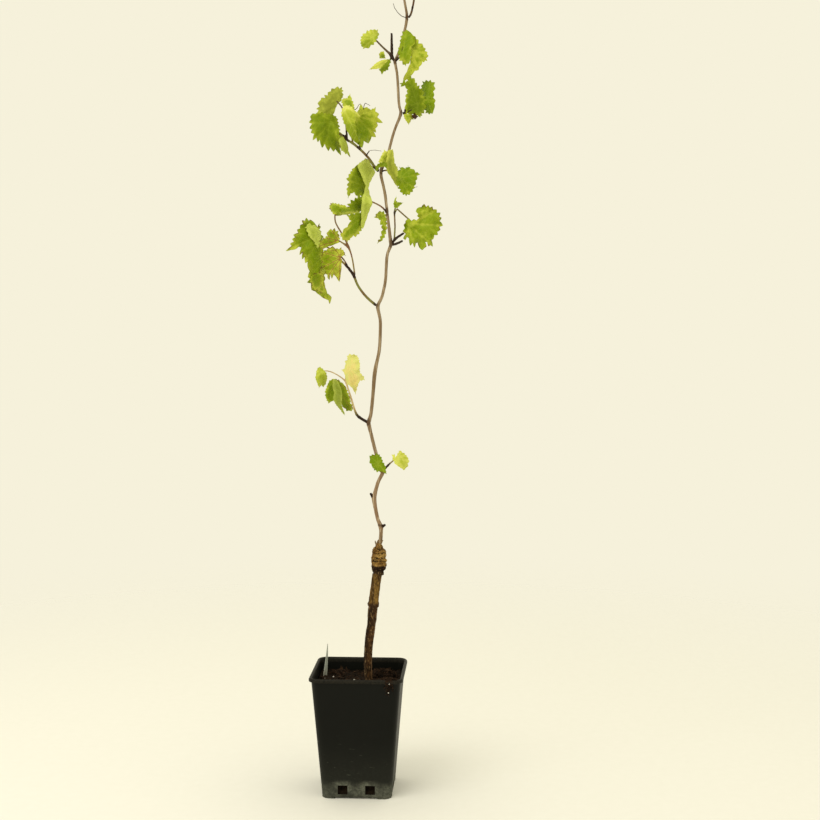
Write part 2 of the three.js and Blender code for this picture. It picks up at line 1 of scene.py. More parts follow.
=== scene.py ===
# %% [markdown]
# # A grafted grapevine in a square nursery pot
# The real plant is a short old rootstock with a young vine grafted on top. Its one long cane bends
# a little at every joint, and side shoots and leaf stalks leave it there. The frame already holds
# every piece at its true place, so nothing here is placed by eye: each finished piece takes its
# place from the frame's own boxes and meshes, and then takes over from the plain one.

# %% Load the frame
import math

import bpy
import numpy as np
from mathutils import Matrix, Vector, geometry, noise
from mathutils.bvhtree import BVHTree
from mathutils.kdtree import KDTree


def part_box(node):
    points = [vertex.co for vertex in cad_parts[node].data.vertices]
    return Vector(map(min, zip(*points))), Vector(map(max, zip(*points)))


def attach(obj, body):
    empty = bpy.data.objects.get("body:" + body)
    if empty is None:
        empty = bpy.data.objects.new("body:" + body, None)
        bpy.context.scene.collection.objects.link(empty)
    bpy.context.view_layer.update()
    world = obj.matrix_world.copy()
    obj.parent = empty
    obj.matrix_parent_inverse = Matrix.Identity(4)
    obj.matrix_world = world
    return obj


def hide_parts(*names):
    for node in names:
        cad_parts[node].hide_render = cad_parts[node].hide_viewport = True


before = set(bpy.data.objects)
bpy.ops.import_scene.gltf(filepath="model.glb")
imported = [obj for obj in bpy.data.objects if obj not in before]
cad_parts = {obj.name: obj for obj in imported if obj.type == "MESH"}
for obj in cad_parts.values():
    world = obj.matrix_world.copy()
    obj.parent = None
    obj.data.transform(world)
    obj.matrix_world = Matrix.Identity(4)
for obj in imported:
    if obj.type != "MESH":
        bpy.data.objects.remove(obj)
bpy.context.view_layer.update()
MM = 0.001

# %% [markdown]
# ## The camera
# It stands 2.3 m in front of the pot at the height of the middle of the cane, looks very slightly
# down, and has a short telephoto lens, as a catalogue would use for a tall plant. A long lens keeps
# the pot's sides nearly upright. The view transform is the plain one, so that a leaf's own green
# comes out as that green.

# %% Camera
CAMERA_PLACE = (0.209, -2.301, 0.795)
CAMERA_TILT = 4.36  # degrees down
CAMERA_TURN = 3.14  # degrees to the left
CAMERA_LENS = 63.4

bpy.ops.object.camera_add(location=CAMERA_PLACE)
camera = bpy.context.object
camera.rotation_euler = (math.radians(90 - CAMERA_TILT), 0, math.radians(CAMERA_TURN))
camera.data.lens = CAMERA_LENS
camera.data.sensor_width = 36
bpy.context.scene.camera = camera
bpy.context.scene.view_settings.view_transform = "Standard"
print("camera at", CAMERA_PLACE)

# %% [markdown]
# ## Writing materials as sums
# A material is a net of small nodes, which soon gets hard to read. Here a socket that carries a
# number is wrapped in a small class, so that plain Python sums such as `1 - mask * 0.4` make the
# Math nodes. Everything else goes through one method that adds a node, sets it up and links it.

# %% The material workbench
def srgb(red, green, blue):
    """A colour as its screen values from 0 to 255, as the linear colour that a shader takes."""
    shares = [value / 255 for value in (red, green, blue)]
    linear = [s / 12.92 if s <= 0.04045 else ((s + 0.055) / 1.055) ** 2.4 for s in shares]
    return (*linear, 1.0)


class Number:
    """A socket that carries a number over a surface."""

    def __init__(self, finish, socket):
        self.finish = finish
        self.socket = socket

    def sum(self, operation, first, second=0.0):
        return self.finish.node("Math", {"operation": operation}, {0: first, 1: second})

    def __add__(self, other):
        return self.sum("ADD", self, other)

    def __radd__(self, other):
        return self.sum("ADD", other, self)

    def __sub__(self, other):
        return self.sum("SUBTRACT", self, other)

    def __rsub__(self, other):
        return self.sum("SUBTRACT", other, self)

    def __mul__(self, other):
        return self.sum("MULTIPLY", self, other)

    def __rmul__(self, other):
        return self.sum("MULTIPLY", other, self)

    def __truediv__(self, other):
        return self.sum("DIVIDE", self, other)

    def __abs__(self):
        return self.sum("ABSOLUTE", self)

    def fraction(self):
        return self.sum("FRACT", self)

    def least(self, other):
        return self.sum("MINIMUM", self, other)

    def greatest(self, other):
        return self.sum("MAXIMUM", self, other)

    def between(self, low, high):
        """0 where the number is low, 1 where it is high, and a soft step from one to the other."""
        settings = {"interpolation_type": "SMOOTHSTEP"}
        sockets = {"Value": self, "From Min": low, "From Max": high}
        return self.finish.node("MapRange", settings, sockets)


class Finish:
    """One material and the nodes that make it."""

    def __init__(self, name):
        self.material = bpy.data.materials.new(name)
        self.material.use_nodes = True
        self.tree = self.material.node_tree
        self.shader = self.tree.nodes["Principled BSDF"]

    def node(self, kind, settings, sockets, out=0):
        made = self.tree.nodes.new("ShaderNode" + kind)
        for setting, value in settings.items():
            setattr(made, setting, value)
        for name, value in sockets.items():
            self.link(self.socket_of(made, name), value)
        outputs = [socket for socket in made.outputs if socket.enabled]
        return Number(self, outputs[out] if isinstance(out, int) else made.outputs[out])

    def socket_of(self, made, name):
        if isinstance(name, int):
            return made.inputs[name]
        return next(socket for socket in made.inputs if socket.name == name and socket.enabled)

    def link(self, socket, value):
        if isinstance(value, Number):
            self.tree.links.new(value.socket, socket)
        else:
            socket.default_value = value

    def place(self):
        return self.node("TexCoord", {}, {}, "Object")

    def stretched(self, across, up, back=None):
        """The object's own places, times a scale in x, y and z."""
        scale = (across, across if back is None else back, up)
        return self.node("Mapping", {}, {"Vector": self.place(), "Scale": scale})

    def noise(self, place, scale, detail=3.0, rough=0.55):
        sockets = {"Vector": place, "Scale": scale, "Detail": detail, "Roughness": rough}
        return self.node("TexNoise", {}, sockets, "Fac")

    def cell_edges(self, place, scale):
        """How far it is to the nearest edge between irregular cells."""
        settings = {"feature": "DISTANCE_TO_EDGE"}
        return self.node("TexVoronoi", settings, {"Vector": place, "Scale": scale}, "Distance")

    def attribute(self, name):
        return self.node("Attribute", {"attribute_name": name}, {}, "Fac")

    def axis(self, place, letter):
        return self.node("SeparateXYZ", {}, {"Vector": place}, letter)

    def mix(self, share, first, second):
        """The first colour where the share is 0, the second where it is 1."""
        return self.node("Mix", {"data_type": "RGBA"}, {"Factor": share, "A": first, "B": second})

    def surface(self, colour, roughness, height, depth=0.0002, strength=1.0, **constants):
        """Ends the net: colour, roughness and a bump of so many metres. The rest is the same all over."""
        self.link(self.shader.inputs["Base Color"], colour)
        self.link(self.shader.inputs["Roughness"], roughness)
        for name, value in constants.items():
            self.shader.inputs[name.replace("_", " ")].default_value = value
        sockets = {"Height": height, "Distance": depth, "Strength": strength}
        self.link(self.shader.inputs["Normal"], self.node("Bump", {}, sockets))
        return self.material


print("material workbench ready")

# %% [markdown]
# ## Light, floor and backdrop
# Soft even daylight from a warm pale room lights the plant, so the shadows are faint. A single colour
# all round does most of it, and one large panel above the left shoulder gives the pot and the leaves
# a lit side. The floor is a plain disc that thins out to nothing, so that no edge shows.

# %% Light and floor
ROOM_COLOUR = srgb(246, 241, 219)
PANEL_PLACE = Vector((-1.5, -2.0, 2.6))
PANEL_WIDTH = 2.2
PANEL_POWER = 34
PANEL_COLOUR = (1.0, 0.97, 0.9)
PANEL_AIM = Vector((0, 0, 0.6))
FLOOR_RADIUS = 2.4

world = bpy.data.worlds.new("room")
bpy.context.scene.world = world
world.use_nodes = True
world.node_tree.nodes["Background"].inputs["Color"].default_value = ROOM_COLOUR
world.node_tree.nodes["Background"].inputs["Strength"].default_value = 1.0

bpy.ops.object.light_add(type="AREA", location=PANEL_PLACE)
panel = bpy.context.object
panel.data.size = PANEL_WIDTH
panel.data.energy = PANEL_POWER
panel.data.color = PANEL_COLOUR
panel.rotation_euler = (PANEL_AIM - PANEL_PLACE).to_track_quat("-Z", "Y").to_euler()


def floor_paint():
    finish = Finish("floor_paint")
    place = finish.place()
    away = finish.node("VectorMath", {"operation": "LENGTH"}, {0: place}, "Value")
    thin = away.between(0.25 * FLOOR_RADIUS, 0.95 * FLOOR_RADIUS)
    finish.link(finish.shader.inputs["Alpha"], 1 - thin)
    grain = finish.noise(place, 60)
    colour = finish.mix(grain, srgb(244, 243, 236), srgb(248, 247, 241))
    return finish.surface(colour, 0.85, grain, 0.0001)


bpy.ops.mesh.primitive_circle_add(vertices=96, radius=FLOOR_RADIUS, fill_type="NGON")
floor = bpy.context.object
floor.name = "floor"
floor.data.materials.append(floor_paint())
print("room lit, floor laid")

# %% [markdown]
# ## Tools of the bench
# Blender's operators work on whatever is selected, so each job starts by selecting one piece and
# nothing else. Faces and edges are picked in code by where they are, because there is no mouse.

# %% Selecting, applying, measuring
def take(*pieces):
    """Selects these pieces and nothing else, the first one active."""
    bpy.ops.object.select_all(action="DESELECT")
    for piece in pieces:
        piece.select_set(True)
    bpy.context.view_layer.objects.active = pieces[0]


def work(piece, kind, **settings):
    """Adds a modifier, sets it up and applies it."""
    take(piece)
    modifier = piece.modifiers.new(kind.lower(), kind)
    for setting, value in settings.items():
        setattr(modifier, setting, value)
    bpy.ops.object.modifier_apply(modifier=modifier.name)


def pick(piece, kind, wanted):
    """In edit mode, selects only the faces, edges or vertices whose middle passes the test."""
    bpy.ops.mesh.select_mode(type=kind)
    bpy.ops.mesh.select_all(action="DESELECT")
    bpy.ops.object.mode_set(mode="OBJECT")
    mesh = piece.data
    corners = mesh.vertices
    parts = {"VERT": corners, "EDGE": mesh.edges, "FACE": mesh.polygons}[kind]
    for part in parts:
        places = [part.co] if kind == "VERT" else [corners[i].co for i in part.vertices]
        part.select = bool(wanted(sum(places, Vector()) / len(places), part))
    bpy.ops.object.mode_set(mode="EDIT")


def places_of(piece):
    flat = np.empty(len(piece.data.vertices) * 3, np.float32)
    piece.data.vertices.foreach_get("co", flat)
    return flat.reshape(-1, 3).astype(float)


def normals_of(piece):
    flat = np.empty(len(piece.data.vertices) * 3, np.float32)
    piece.data.vertices.foreach_get("normal", flat)
    return flat.reshape(-1, 3).astype(float)


def move_to(piece, places):
    piece.data.vertices.foreach_set("co", places.astype(np.float32).ravel())
    piece.data.update()


def triangles(piece):
    return sum(len(face.vertices) - 2 for face in piece.data.polygons)


def smooth(piece, degrees=180):
    take(piece)
    bpy.ops.object.shade_smooth_by_angle(angle=math.radians(degrees))


def stand_in(piece, slot, *nodes):
    """The piece rides on the plant and replaces the plain nodes, which are hidden. The slot is not used.
    """
    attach(piece, "root")
    if nodes:
        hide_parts(*nodes)
    print(piece.name, triangles(piece), "triangles, for", len(nodes), "nodes")


def ripple(places, length, seed):
    """A seeded uneven field, about -1 to 1, whose humps lie about a length apart."""
    dice = np.random.default_rng(seed)
    total = np.zeros(len(places))
    for _ in range(10):
        heading = dice.normal(size=places.shape[1])
        heading *= dice.uniform(0.7, 1.6) * 2 * math.pi / length / np.linalg.norm(heading)
        total += np.sin(places @ heading + dice.uniform(0, 2 * math.pi))
    return total / 3.2


# %% [markdown]
# ## The pot
# A nursery pot is blow-thin black plastic: a square cup that narrows to its foot, with a lip rolled
# outwards at the top, drain holes low on each face, and feet at its corners that lift the floor.
# It could be carved out of a block, but the real one is a single skin of even thickness, so here it
# is drawn as a skin too. The skin starts as a cube with no lid. Its foot is narrowed, its upright
# edges are rounded, feet are pulled down out of its floor, holes are cut, and the lip is rolled by
# extruding the top edge again and again. Solidify then gives it all one wall.

# %% Shape the pot
_, pot_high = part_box("pot")
RIM_HALF = pot_high.x
POT_TOP = pot_high.z
FOOT_HALF = 0.056
WALL_TOP_HALF = 0.071
LIP_FOOT = POT_TOP - 0.0075  # where the wall ends and the lip begins
CORNER_ROUNDING = 0.013
WALL = 0.0016
FOOT_HEIGHT = 0.0025
FOOT_REACH = 0.034  # from the middle of a face to its corner feet
PAD_HALF = 0.018
HOLE_HALF = 0.0078
HOLE_LOW = 0.007
HOLE_HIGH = 0.022
HOLE_SPREAD = 0.022
LIP_STEPS = [  # half width and height of the rolled lip, from the wall over and down again
    (0.0712, POT_TOP - WALL - 0.0022),
    (0.0716, POT_TOP - WALL - 0.0008),
    (0.0721, POT_TOP - WALL - 0.0002),
    (0.0726, POT_TOP - WALL),
    (0.0731, POT_TOP - WALL - 0.0005),
    (RIM_HALF - WALL, POT_TOP - WALL - 0.0014),
    (RIM_HALF - WALL, POT_TOP - 0.0055),
]


def cut(plane_place, plane_normal):
    bpy.ops.mesh.bisect(plane_co=plane_place, plane_no=plane_normal)


def make_pot():
    bpy.ops.object.select_all(action="DESELECT")
    bpy.ops.mesh.primitive_cube_add(
        size=1,
        location=(0, 0, (FOOT_HEIGHT + LIP_FOOT) / 2),
        scale=(2 * WALL_TOP_HALF, 2 * WALL_TOP_HALF, LIP_FOOT - FOOT_HEIGHT),
    )
    pot = bpy.context.object
    pot.name = "pot_skin"
    bpy.ops.object.transform_apply(location=True, rotation=True, scale=True)
    bpy.ops.object.mode_set(mode="EDIT")
    pick(pot, "FACE", lambda middle, face: face.normal.z > 0.9)
    bpy.ops.mesh.delete(type="FACE")
    pick(pot, "VERT", lambda place, vertex: place.z < 0.01)
    narrow = FOOT_HALF / WALL_TOP_HALF
    bpy.ops.transform.resize(value=(narrow, narrow, 1))
    pick(pot, "EDGE", lambda middle, edge: 0.01 < middle.z < LIP_FOOT - 0.01)
    bpy.ops.mesh.bevel(offset=CORNER_ROUNDING, segments=6, affect="EDGES")

    def is_floor(middle, face):
        return face.normal.z < -0.9

    # feet, pulled down out of the floor's corners and middle
    for reach in (-FOOT_REACH, FOOT_REACH, -PAD_HALF, PAD_HALF):
        pick(pot, "FACE", is_floor)
        cut((reach, 0, 0), (1, 0, 0))
        pick(pot, "FACE", is_floor)
        cut((0, reach, 0), (0, 1, 0))

    def under_a_foot(middle, face):
        corner = min(abs(middle.x), abs(middle.y)) > FOOT_REACH
        pad = max(abs(middle.x), abs(middle.y)) < PAD_HALF
        return is_floor(middle, face) and (corner or pad)

    pick(pot, "FACE", under_a_foot)
    bpy.ops.mesh.extrude_region_move(TRANSFORM_OT_translate={"value": (0, 0, -FOOT_HEIGHT)})

    def is_wall(middle, face):
        return abs(face.normal.z) < 0.5 and face.area > 1e-6

    # drain holes, two low on each face
    for level in (HOLE_LOW, HOLE_HIGH):
        pick(pot, "FACE", is_wall)
        cut((0, 0, level), (0, 0, 1))
    for side in (-1, 1):
        for edge in (side * HOLE_SPREAD - HOLE_HALF, side * HOLE_SPREAD + HOLE_HALF):
            for flat, normal in (((edge, 0, 0), (1, 0, 0)), ((0, edge, 0), (0, 1, 0))):
                pick(pot, "FACE", is_wall)
                cut(flat, normal)

    def in_a_hole(middle, face):
        off = abs(min(abs(middle.x), abs(middle.y)) - HOLE_SPREAD)
        return is_wall(middle, face) and HOLE_LOW < middle.z < HOLE_HIGH and off < HOLE_HALF

    pick(pot, "FACE", in_a_hole)
    bpy.ops.mesh.delete(type="FACE")
    # the lip, rolled by extruding the top edge again and again
    half, level = WALL_TOP_HALF, LIP_FOOT
    pick(pot, "EDGE", lambda middle, edge: middle.z > LIP_FOOT - 1e-5)
    for next_half, next_level in LIP_STEPS:
        lift = (0, 0, next_level - level)
        bpy.ops.mesh.extrude_region_move(TRANSFORM_OT_translate={"value": lift})
        bpy.ops.transform.resize(value=(next_half / half, next_half / half, 1))
        half, level = next_half, next_level
    bpy.ops.mesh.select_all(action="SELECT")
    bpy.ops.mesh.remove_doubles(threshold=1e-6)
    bpy.ops.mesh.normals_make_consistent(inside=False)
    # an open cup has no inside to tell by, so a foot's face shows which way the skin has come out
    bpy.ops.object.mode_set(mode="OBJECT")
    foot = min(pot.data.polygons, key=lambda face: face.center.z)
    if foot.normal.z > 0:
        bpy.ops.object.mode_set(mode="EDIT")
        bpy.ops.mesh.select_all(action="SELECT")
        bpy.ops.mesh.flip_normals()
        bpy.ops.object.mode_set(mode="OBJECT")
    work(pot, "SOLIDIFY", thickness=WALL, offset=-1, use_even_offset=True)
    work(pot, "BEVEL", width=0.0003, segments=2, limit_method="ANGLE", angle_limit=math.radians(40))
    smooth(pot, 35)
    return pot


pot = make_pot()
print("pot wall in mm:", WALL / MM, "triangles:", triangles(pot))

# %% [markdown]
# ### The pot's plastic
# New it would be plain black. This one has stood on damp sand: its lowest centimetres wear a dry
# grey-green bloom, brightest where water ran out of the holes, there are a few scuffs, and the lip,
# which hands and other pots rub, has gone grey; that grey also stands in as a painted sheen of the
# light from above. Each of these is a mask, worked out from where a point is.

# %% Paint the pot
def pot_plastic():
    finish = Finish("black_pot_plastic")
    place = finish.place()
    level = finish.axis(place, "Z")
    across = abs(finish.axis(place, "X"))
    back = abs(finish.axis(place, "Y"))
    cloud = finish.noise(place, 45, 4)
    speck = finish.noise(place, 420, 2)
    scrape = finish.noise(finish.stretched(60, 900), 1, 3)
    # the lip band: partly real wear and partly a painted sheen of the light from above
    rubbed_and_sheen = level.between(POT_TOP - 0.0078, POT_TOP - 0.0066)
    mottle = finish.noise(place, 260, 4, 0.7).between(0.36, 0.6)
    patch = cloud.between(0.34, 0.62) * (0.55 + mottle * 0.45)
    bloom = (1 - level.between(0.016, 0.031)) * (0.3 + patch * 0.55)
    # the bloom is brightest where water has run out, over and beside the top of each hole
    beside = abs(across.least(back) - HOLE_SPREAD)
    over_hole = (1 - beside.between(0.006, 0.019)) * level.between(0.010, 0.023)
    over_hole = over_hole * (1 - level.between(0.025, 0.033)) * (0.35 + patch * 0.65)
    film = (1 - level.between(0.02, 0.13)) * 0.2
    scuff = scrape.between(0.68, 0.74) * (1 - level.between(0.06, 0.15)) * 0.5
    dusty = (bloom * 0.62 + over_hole * 0.5 + film + scuff).between(0.0, 1.15)
    dusty = dusty * (0.7 + mottle * 0.3)
    black = finish.mix(cloud, srgb(5, 6, 2), srgb(12, 13, 8))
    # painted sheen and wear: the lip is painted a patchy lighter grey
    worn_and_sheen = finish.mix(rubbed_and_sheen * speck.between(0.2, 0.8), black, srgb(38, 34, 26))
    colour = finish.mix(dusty, worn_and_sheen, srgb(106, 108, 96))
    roughness = 0.42 + cloud * 0.12 + dusty * 0.4
    relief = speck * 0.5 + scrape * 0.5
    return finish.surface(colour, roughness, relief, 0.00012, 0.6, Specular_IOR_Level=0.13)


pot.data.materials.append(pot_plastic())
stand_in(pot, "pot_plastic", "pot")

# %% [markdown]
# ## The compost
# Bark compost settles a little below the rim and its top is never flat: it lies higher where a root
# ball was set in, and crumbs, fibres and white perlite lie loose on it. It could be one bumpy plane,
# but then the drain holes would look into nothing. So the top is a fine grid, squeezed to the pot's
# rounded square and raised by seeded noise. Its edge is extruded down to the floor of the pot, with a
# step inwards low down, because water has washed the compost back from the tops of the holes.

# %% Shape the compost
compost_low, compost_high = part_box("compost")
SOIL_LEVEL = compost_high.z
SOIL_HALF = compost_high.x - 0.0002
SOIL_STEPS = [  # how wide and how high each step down is, washed back at the holes
    (0.81, 0.026),
    (0.70, 0.0185),
    (0.79, compost_low.z),
]
SOIL_GRID = 110
SOIL_SQUARENESS = 9  # 2 would be a circle, and a very large power a square
TRUNK_FOOT = Vector((0.015, 0, SOIL_LEVEL))
TRUNK_CLEARING = 0.016


def soil_height(across, back):
    """How far the compost's top stands above its usual level, seeded, flat round the trunk."""
    spots = np.column_stack([across, back])
    lumps = 0.0022 * ripple(spots, 0.05, 3) + 0.0012 * np.abs(ripple(spots, 0.014, 4))
    crumbs = 0.0006 * ripple(spots, 0.005, 5)
    from_trunk = np.hypot(across - TRUNK_FOOT.x, back - TRUNK_FOOT.y)
    near = np.exp(-((from_trunk / TRUNK_CLEARING) ** 2))
    return (lumps + crumbs) * (1 - near) - 0.0018 * (1 - near)


def make_compost():
    bpy.ops.object.select_all(action="DESELECT")
    bpy.ops.mesh.primitive_grid_add(
        x_subdivisions=SOIL_GRID, y_subdivisions=SOIL_GRID, size=2, location=(0, 0, 0)
    )
    soil = bpy.context.object
    soil.name = "compost_fill"
    bpy.ops.object.mode_set(mode="EDIT")
    bpy.ops.mesh.select_all(action="DESELECT")
    bpy.ops.mesh.select_mode(type="EDGE")
    bpy.ops.mesh.select_non_manifold()
    share = 1
    for next_share, _ in SOIL_STEPS:
        bpy.ops.mesh.extrude_region_move(TRANSFORM_OT_translate={"value": (0, 0, -1)})
        bpy.ops.transform.resize(value=(next_share / share, next_share / share, 1))
        share = next_share
    bpy.ops.mesh.edge_face_add()
    bpy.ops.object.mode_set(mode="OBJECT")
    places = places_of(soil)
    # the square's corners are pulled in to the pot's rounded ones
    power = SOIL_SQUARENESS
    reach = np.max(np.abs(places[:, :2]), axis=1)
    size = (np.abs(places[:, 0]) ** power + np.abs(places[:, 1]) ** power) ** (1 / power)
    pull = np.where(size > 0, reach / np.maximum(size, 1e-9), 1)
    places[:, :2] *= (pull * SOIL_HALF)[:, None]
    # each row of corners goes to the height of its step, and the top becomes uneven ground
    step_of = np.round(-places[:, 2]).astype(int)
    levels = np.array([0] + [level for _, level in SOIL_STEPS])
    top = SOIL_LEVEL + soil_height(places[:, 0], places[:, 1])
    places[:, 2] = np.where(step_of == 0, top, levels[step_of])
    move_to(soil, places)
    smooth(soil, 60)
    return soil


compost = make_compost()


def compost_finish(name, dark, light, glint):
    """Crumbly ground: a dark and a light colour, and the colour of the odd pale fibre."""
    finish = Finish(name)
    place = finish.place()
    lump = finish.noise(place, 130, 5, 0.65)
    fibre = finish.noise(finish.stretched(500, 500, 90), 1, 3)
    colour = finish.mix(lump.between(0.32, 0.68), dark, light)
    colour = finish.mix(fibre.between(0.66, 0.74) * 0.6, colour, glint)
    return finish.surface(colour, 0.95, lump + fibre * 0.4, 0.0015, 0.9, Specular_IOR_Level=0.1)


compost.data.materials.append(
    compost_finish("bark_compost", srgb(15, 11, 7), srgb(36, 26, 17), srgb(74, 56, 40))
)
stand_in(compost, "compost", "compost")

# %% [markdown]
# ### Crumbs, fibres and perlite
# Loose bits are small, many and all alike, so one is modelled for each kind and copied a few hundred
# times with a new size, turn and place. An ico sphere with its corners pushed about by chance makes a
# crumb or a grain of perlite, and a thin bent bar makes a fibre. All copies of a kind are one mesh.

# %% Scatter the loose bits
dice = np.random.default_rng(11)


def pattern_of(piece):
    """A made piece as its places and faces, after which the piece itself is removed."""
    places = places_of(piece)
    faces = [tuple(face.vertices) for face in piece.data.polygons]
    bpy.data.objects.remove(piece)
    return places, faces


def joined(name, copies, material):
    """Many (places, faces) copies as one mesh."""
    all_places, all_faces, count = [], [], 0
    for places, faces in copies:
        all_places.append(places)
        all_faces.extend(tuple(count + i for i in face) for face in faces)
        count += len(places)
    mesh = bpy.data.meshes.new(name)
    mesh.from_pydata(np.vstack(all_places).tolist(), [], all_faces)
    mesh.materials.append(material)
    piece = bpy.data.objects.new(name, mesh)
    bpy.context.scene.collection.objects.link(piece)
    return piece


def turned(places, stretch):
    """A copy of a pattern, stretched and turned by chance."""
    axes, _ = np.linalg.qr(dice.normal(size=(3, 3)))
    axes[:, 0] *= np.sign(np.linalg.det(axes))
    return (places * stretch) @ axes.T


def crumb_pattern(roughness):
    bpy.ops.object.select_all(action="DESELECT")
    bpy.ops.mesh.primitive_ico_sphere_add(subdivisions=2, radius=1)
    places, faces = pattern_of(bpy.context.object)
    return places * (1 + roughness * ripple(places, 1.6, 21))[:, None], faces


def fibre_pattern():
    bpy.ops.object.select_all(action="DESELECT")
    bpy.ops.mesh.primitive_cylinder_add(vertices=5, radius=0.05, depth=2)
    bpy.ops.object.mode_set(mode="EDIT")
    bpy.ops.mesh.select_all(action="SELECT")
    bpy.ops.mesh.bisect(plane_co=(0, 0, 0), plane_no=(0, 0, 1))
    bpy.ops.object.mode_set(mode="OBJECT")
    places, faces = pattern_of(bpy.context.object)
    places[:, 0] += 0.3 * (1 - places[:, 2] ** 2)
    return places, faces


def on_the_soil():
    """A chance place on top of the compost."""
    across, back = dice.uniform(-0.97, 0.97, 2) * (SOIL_HALF - 0.003)
    lift = soil_height(np.array([across]), np.array([back]))[0]
    return np.array([across, back, SOIL_LEVEL + lift])


CRUMB_COUNT = 420
PERLITE_COUNT = 16
FIBRE_COUNT = 90
CLUMPS = [  # middle across and back, reach, height of the heap and number of crumbs
    (-0.034, 0.044, 0.016, 0.005, 80),
    (0.034, 0.044, 0.022, 0.007, 110),
    (0.052, -0.058, 0.009, 0.019, 110),
]
SPILL = [  # crumbs hang out over the rim: middle, spread across and up, and number of crumbs
    ((0.056, -0.0715, 0.1992), (0.0054, 0.0008), 60),
    ((0.053, -0.0742, 0.1955), (0.0036, 0.0026), 44),
    ((0.054, -0.0722, 0.1880), (0.0026, 0.0038), 40),
    ((0.052, -0.0714, 0.1800), (0.0014, 0.0030), 16),
]

crumb, crumb_faces = crumb_pattern(0.28)
grain, grain_faces = crumb_pattern(0.16)
fibre, fibre_faces = fibre_pattern()
crumbs, perlite, fibres = [], [], []
for _ in range(CRUMB_COUNT):
    size = dice.uniform(0.0009, 0.0026)
    stretch = size * dice.uniform(0.5, 1.4, 3)
    crumbs.append((turned(crumb, stretch) + on_the_soil(), crumb_faces))
for across, back, reach, rise, count in CLUMPS:
    for _ in range(count):
        off = dice.normal(size=2) * reach / 2
        off = np.clip(off + (across, back), 0.006 - SOIL_HALF, SOIL_HALF - 0.006)
        fall = math.exp(-((off[0] - across) ** 2 + (off[1] - back) ** 2) / reach**2)
        lift = rise * dice.uniform(0, 1) * fall
        spot = np.array([off[0], off[1], SOIL_LEVEL - 0.001 + lift])
        size = dice.uniform(0.0012, 0.0032)
        crumbs.append((turned(crumb, size * dice.uniform(0.5, 1.3, 3)) + spot, crumb_faces))
        if dice.uniform() < 0.2:
            stretch = dice.uniform(0.005, 0.009) * np.array([0.5, 0.5, 1])
            fibres.append((turned(fibre, stretch) + spot + (0, 0, 0.001), fibre_faces))
for middle, spread, count in SPILL:
    for _ in range(count):
        off = np.array([dice.normal() * spread[0], 0, dice.normal() * spread[1]])
        spot = np.array(middle) + np.clip(off, -0.009, 0.009)
        crumbs.append((turned(crumb, dice.uniform(0.0006, 0.0015, 3)) + spot, crumb_faces))
        if dice.uniform() < 0.4:
            stretch = dice.uniform(0.002, 0.004) * np.array([0.5, 0.5, 1])
            fibres.append((turned(fibre, stretch) * (1, 0.2, 1) + spot, fibre_faces))
        if dice.uniform() < 0.035:
            lifted = spot + (0, -0.0012, 0)
            perlite.append((turned(grain, dice.uniform(0.0006, 0.0010, 3)) + lifted, grain_faces))
for _ in range(PERLITE_COUNT):
    size = dice.uniform(0.0008, 0.0018)
    perlite.append((turned(grain, size * dice.uniform(0.8, 1.2, 3)) + on_the_soil(), grain_faces))
for _ in range(FIBRE_COUNT):
    stretch = dice.uniform(0.004, 0.010) * np.array([0.5, 0.5, 1])
    fibres.append((turned(fibre, stretch) * (1, 1, 0.25) + on_the_soil() + (0, 0, 0.0004), fibre_faces))

bark_bits = compost_finish("bark_bits", srgb(20, 14, 9), srgb(54, 38, 26), srgb(118, 92, 66))
root_fibre = compost_finish("root_fibre", srgb(58, 40, 27), srgb(104, 76, 52), srgb(140, 110, 78))
white_perlite = compost_finish(
    "white_perlite", srgb(205, 200, 188), srgb(236, 233, 225), srgb(240, 238, 232)
)
for name, copies, material in (
    ("compost_crumbs", crumbs, bark_bits),
    ("compost_fibres", fibres, root_fibre),
    ("perlite_grains", perlite, white_perlite),
):
    stand_in(joined(name, copies, material), "compost")

# %% [markdown]
# ## The label
# A plant label is a strip of thin plastic with a pointed foot, and this one is blank. Its place, lean
# and outline are in the frame already, so a copy of that node is welded, cut into short lengths and
# bowed a little, as a strip does when it is pushed into stiff compost.

# %% The label
LABEL_BOW = 0.0012
LABEL_TAPER = 0.86
LABEL_LENGTHS = 12


def copy_of(name, *nodes):
    """One welded mesh made from copies of the plain nodes, which are left alone."""
    copies = []
    for node in nodes:
        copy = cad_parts[node].copy()
        copy.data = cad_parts[node].data.copy()
        copy.parent = None
        for key in list(copy.keys()):
            del copy[key]
        bpy.context.scene.collection.objects.link(copy)
        copies.append(copy)
    take(*copies)
    if len(copies) > 1:
        bpy.ops.object.join()
    piece = bpy.context.view_layer.objects.active
    piece.name = name
    piece.data.materials.clear()
    bpy.ops.object.mode_set(mode="EDIT")
    bpy.ops.mesh.select_all(action="SELECT")
    bpy.ops.mesh.remove_doubles(threshold=1e-5)
    bpy.ops.object.mode_set(mode="OBJECT")
    return piece


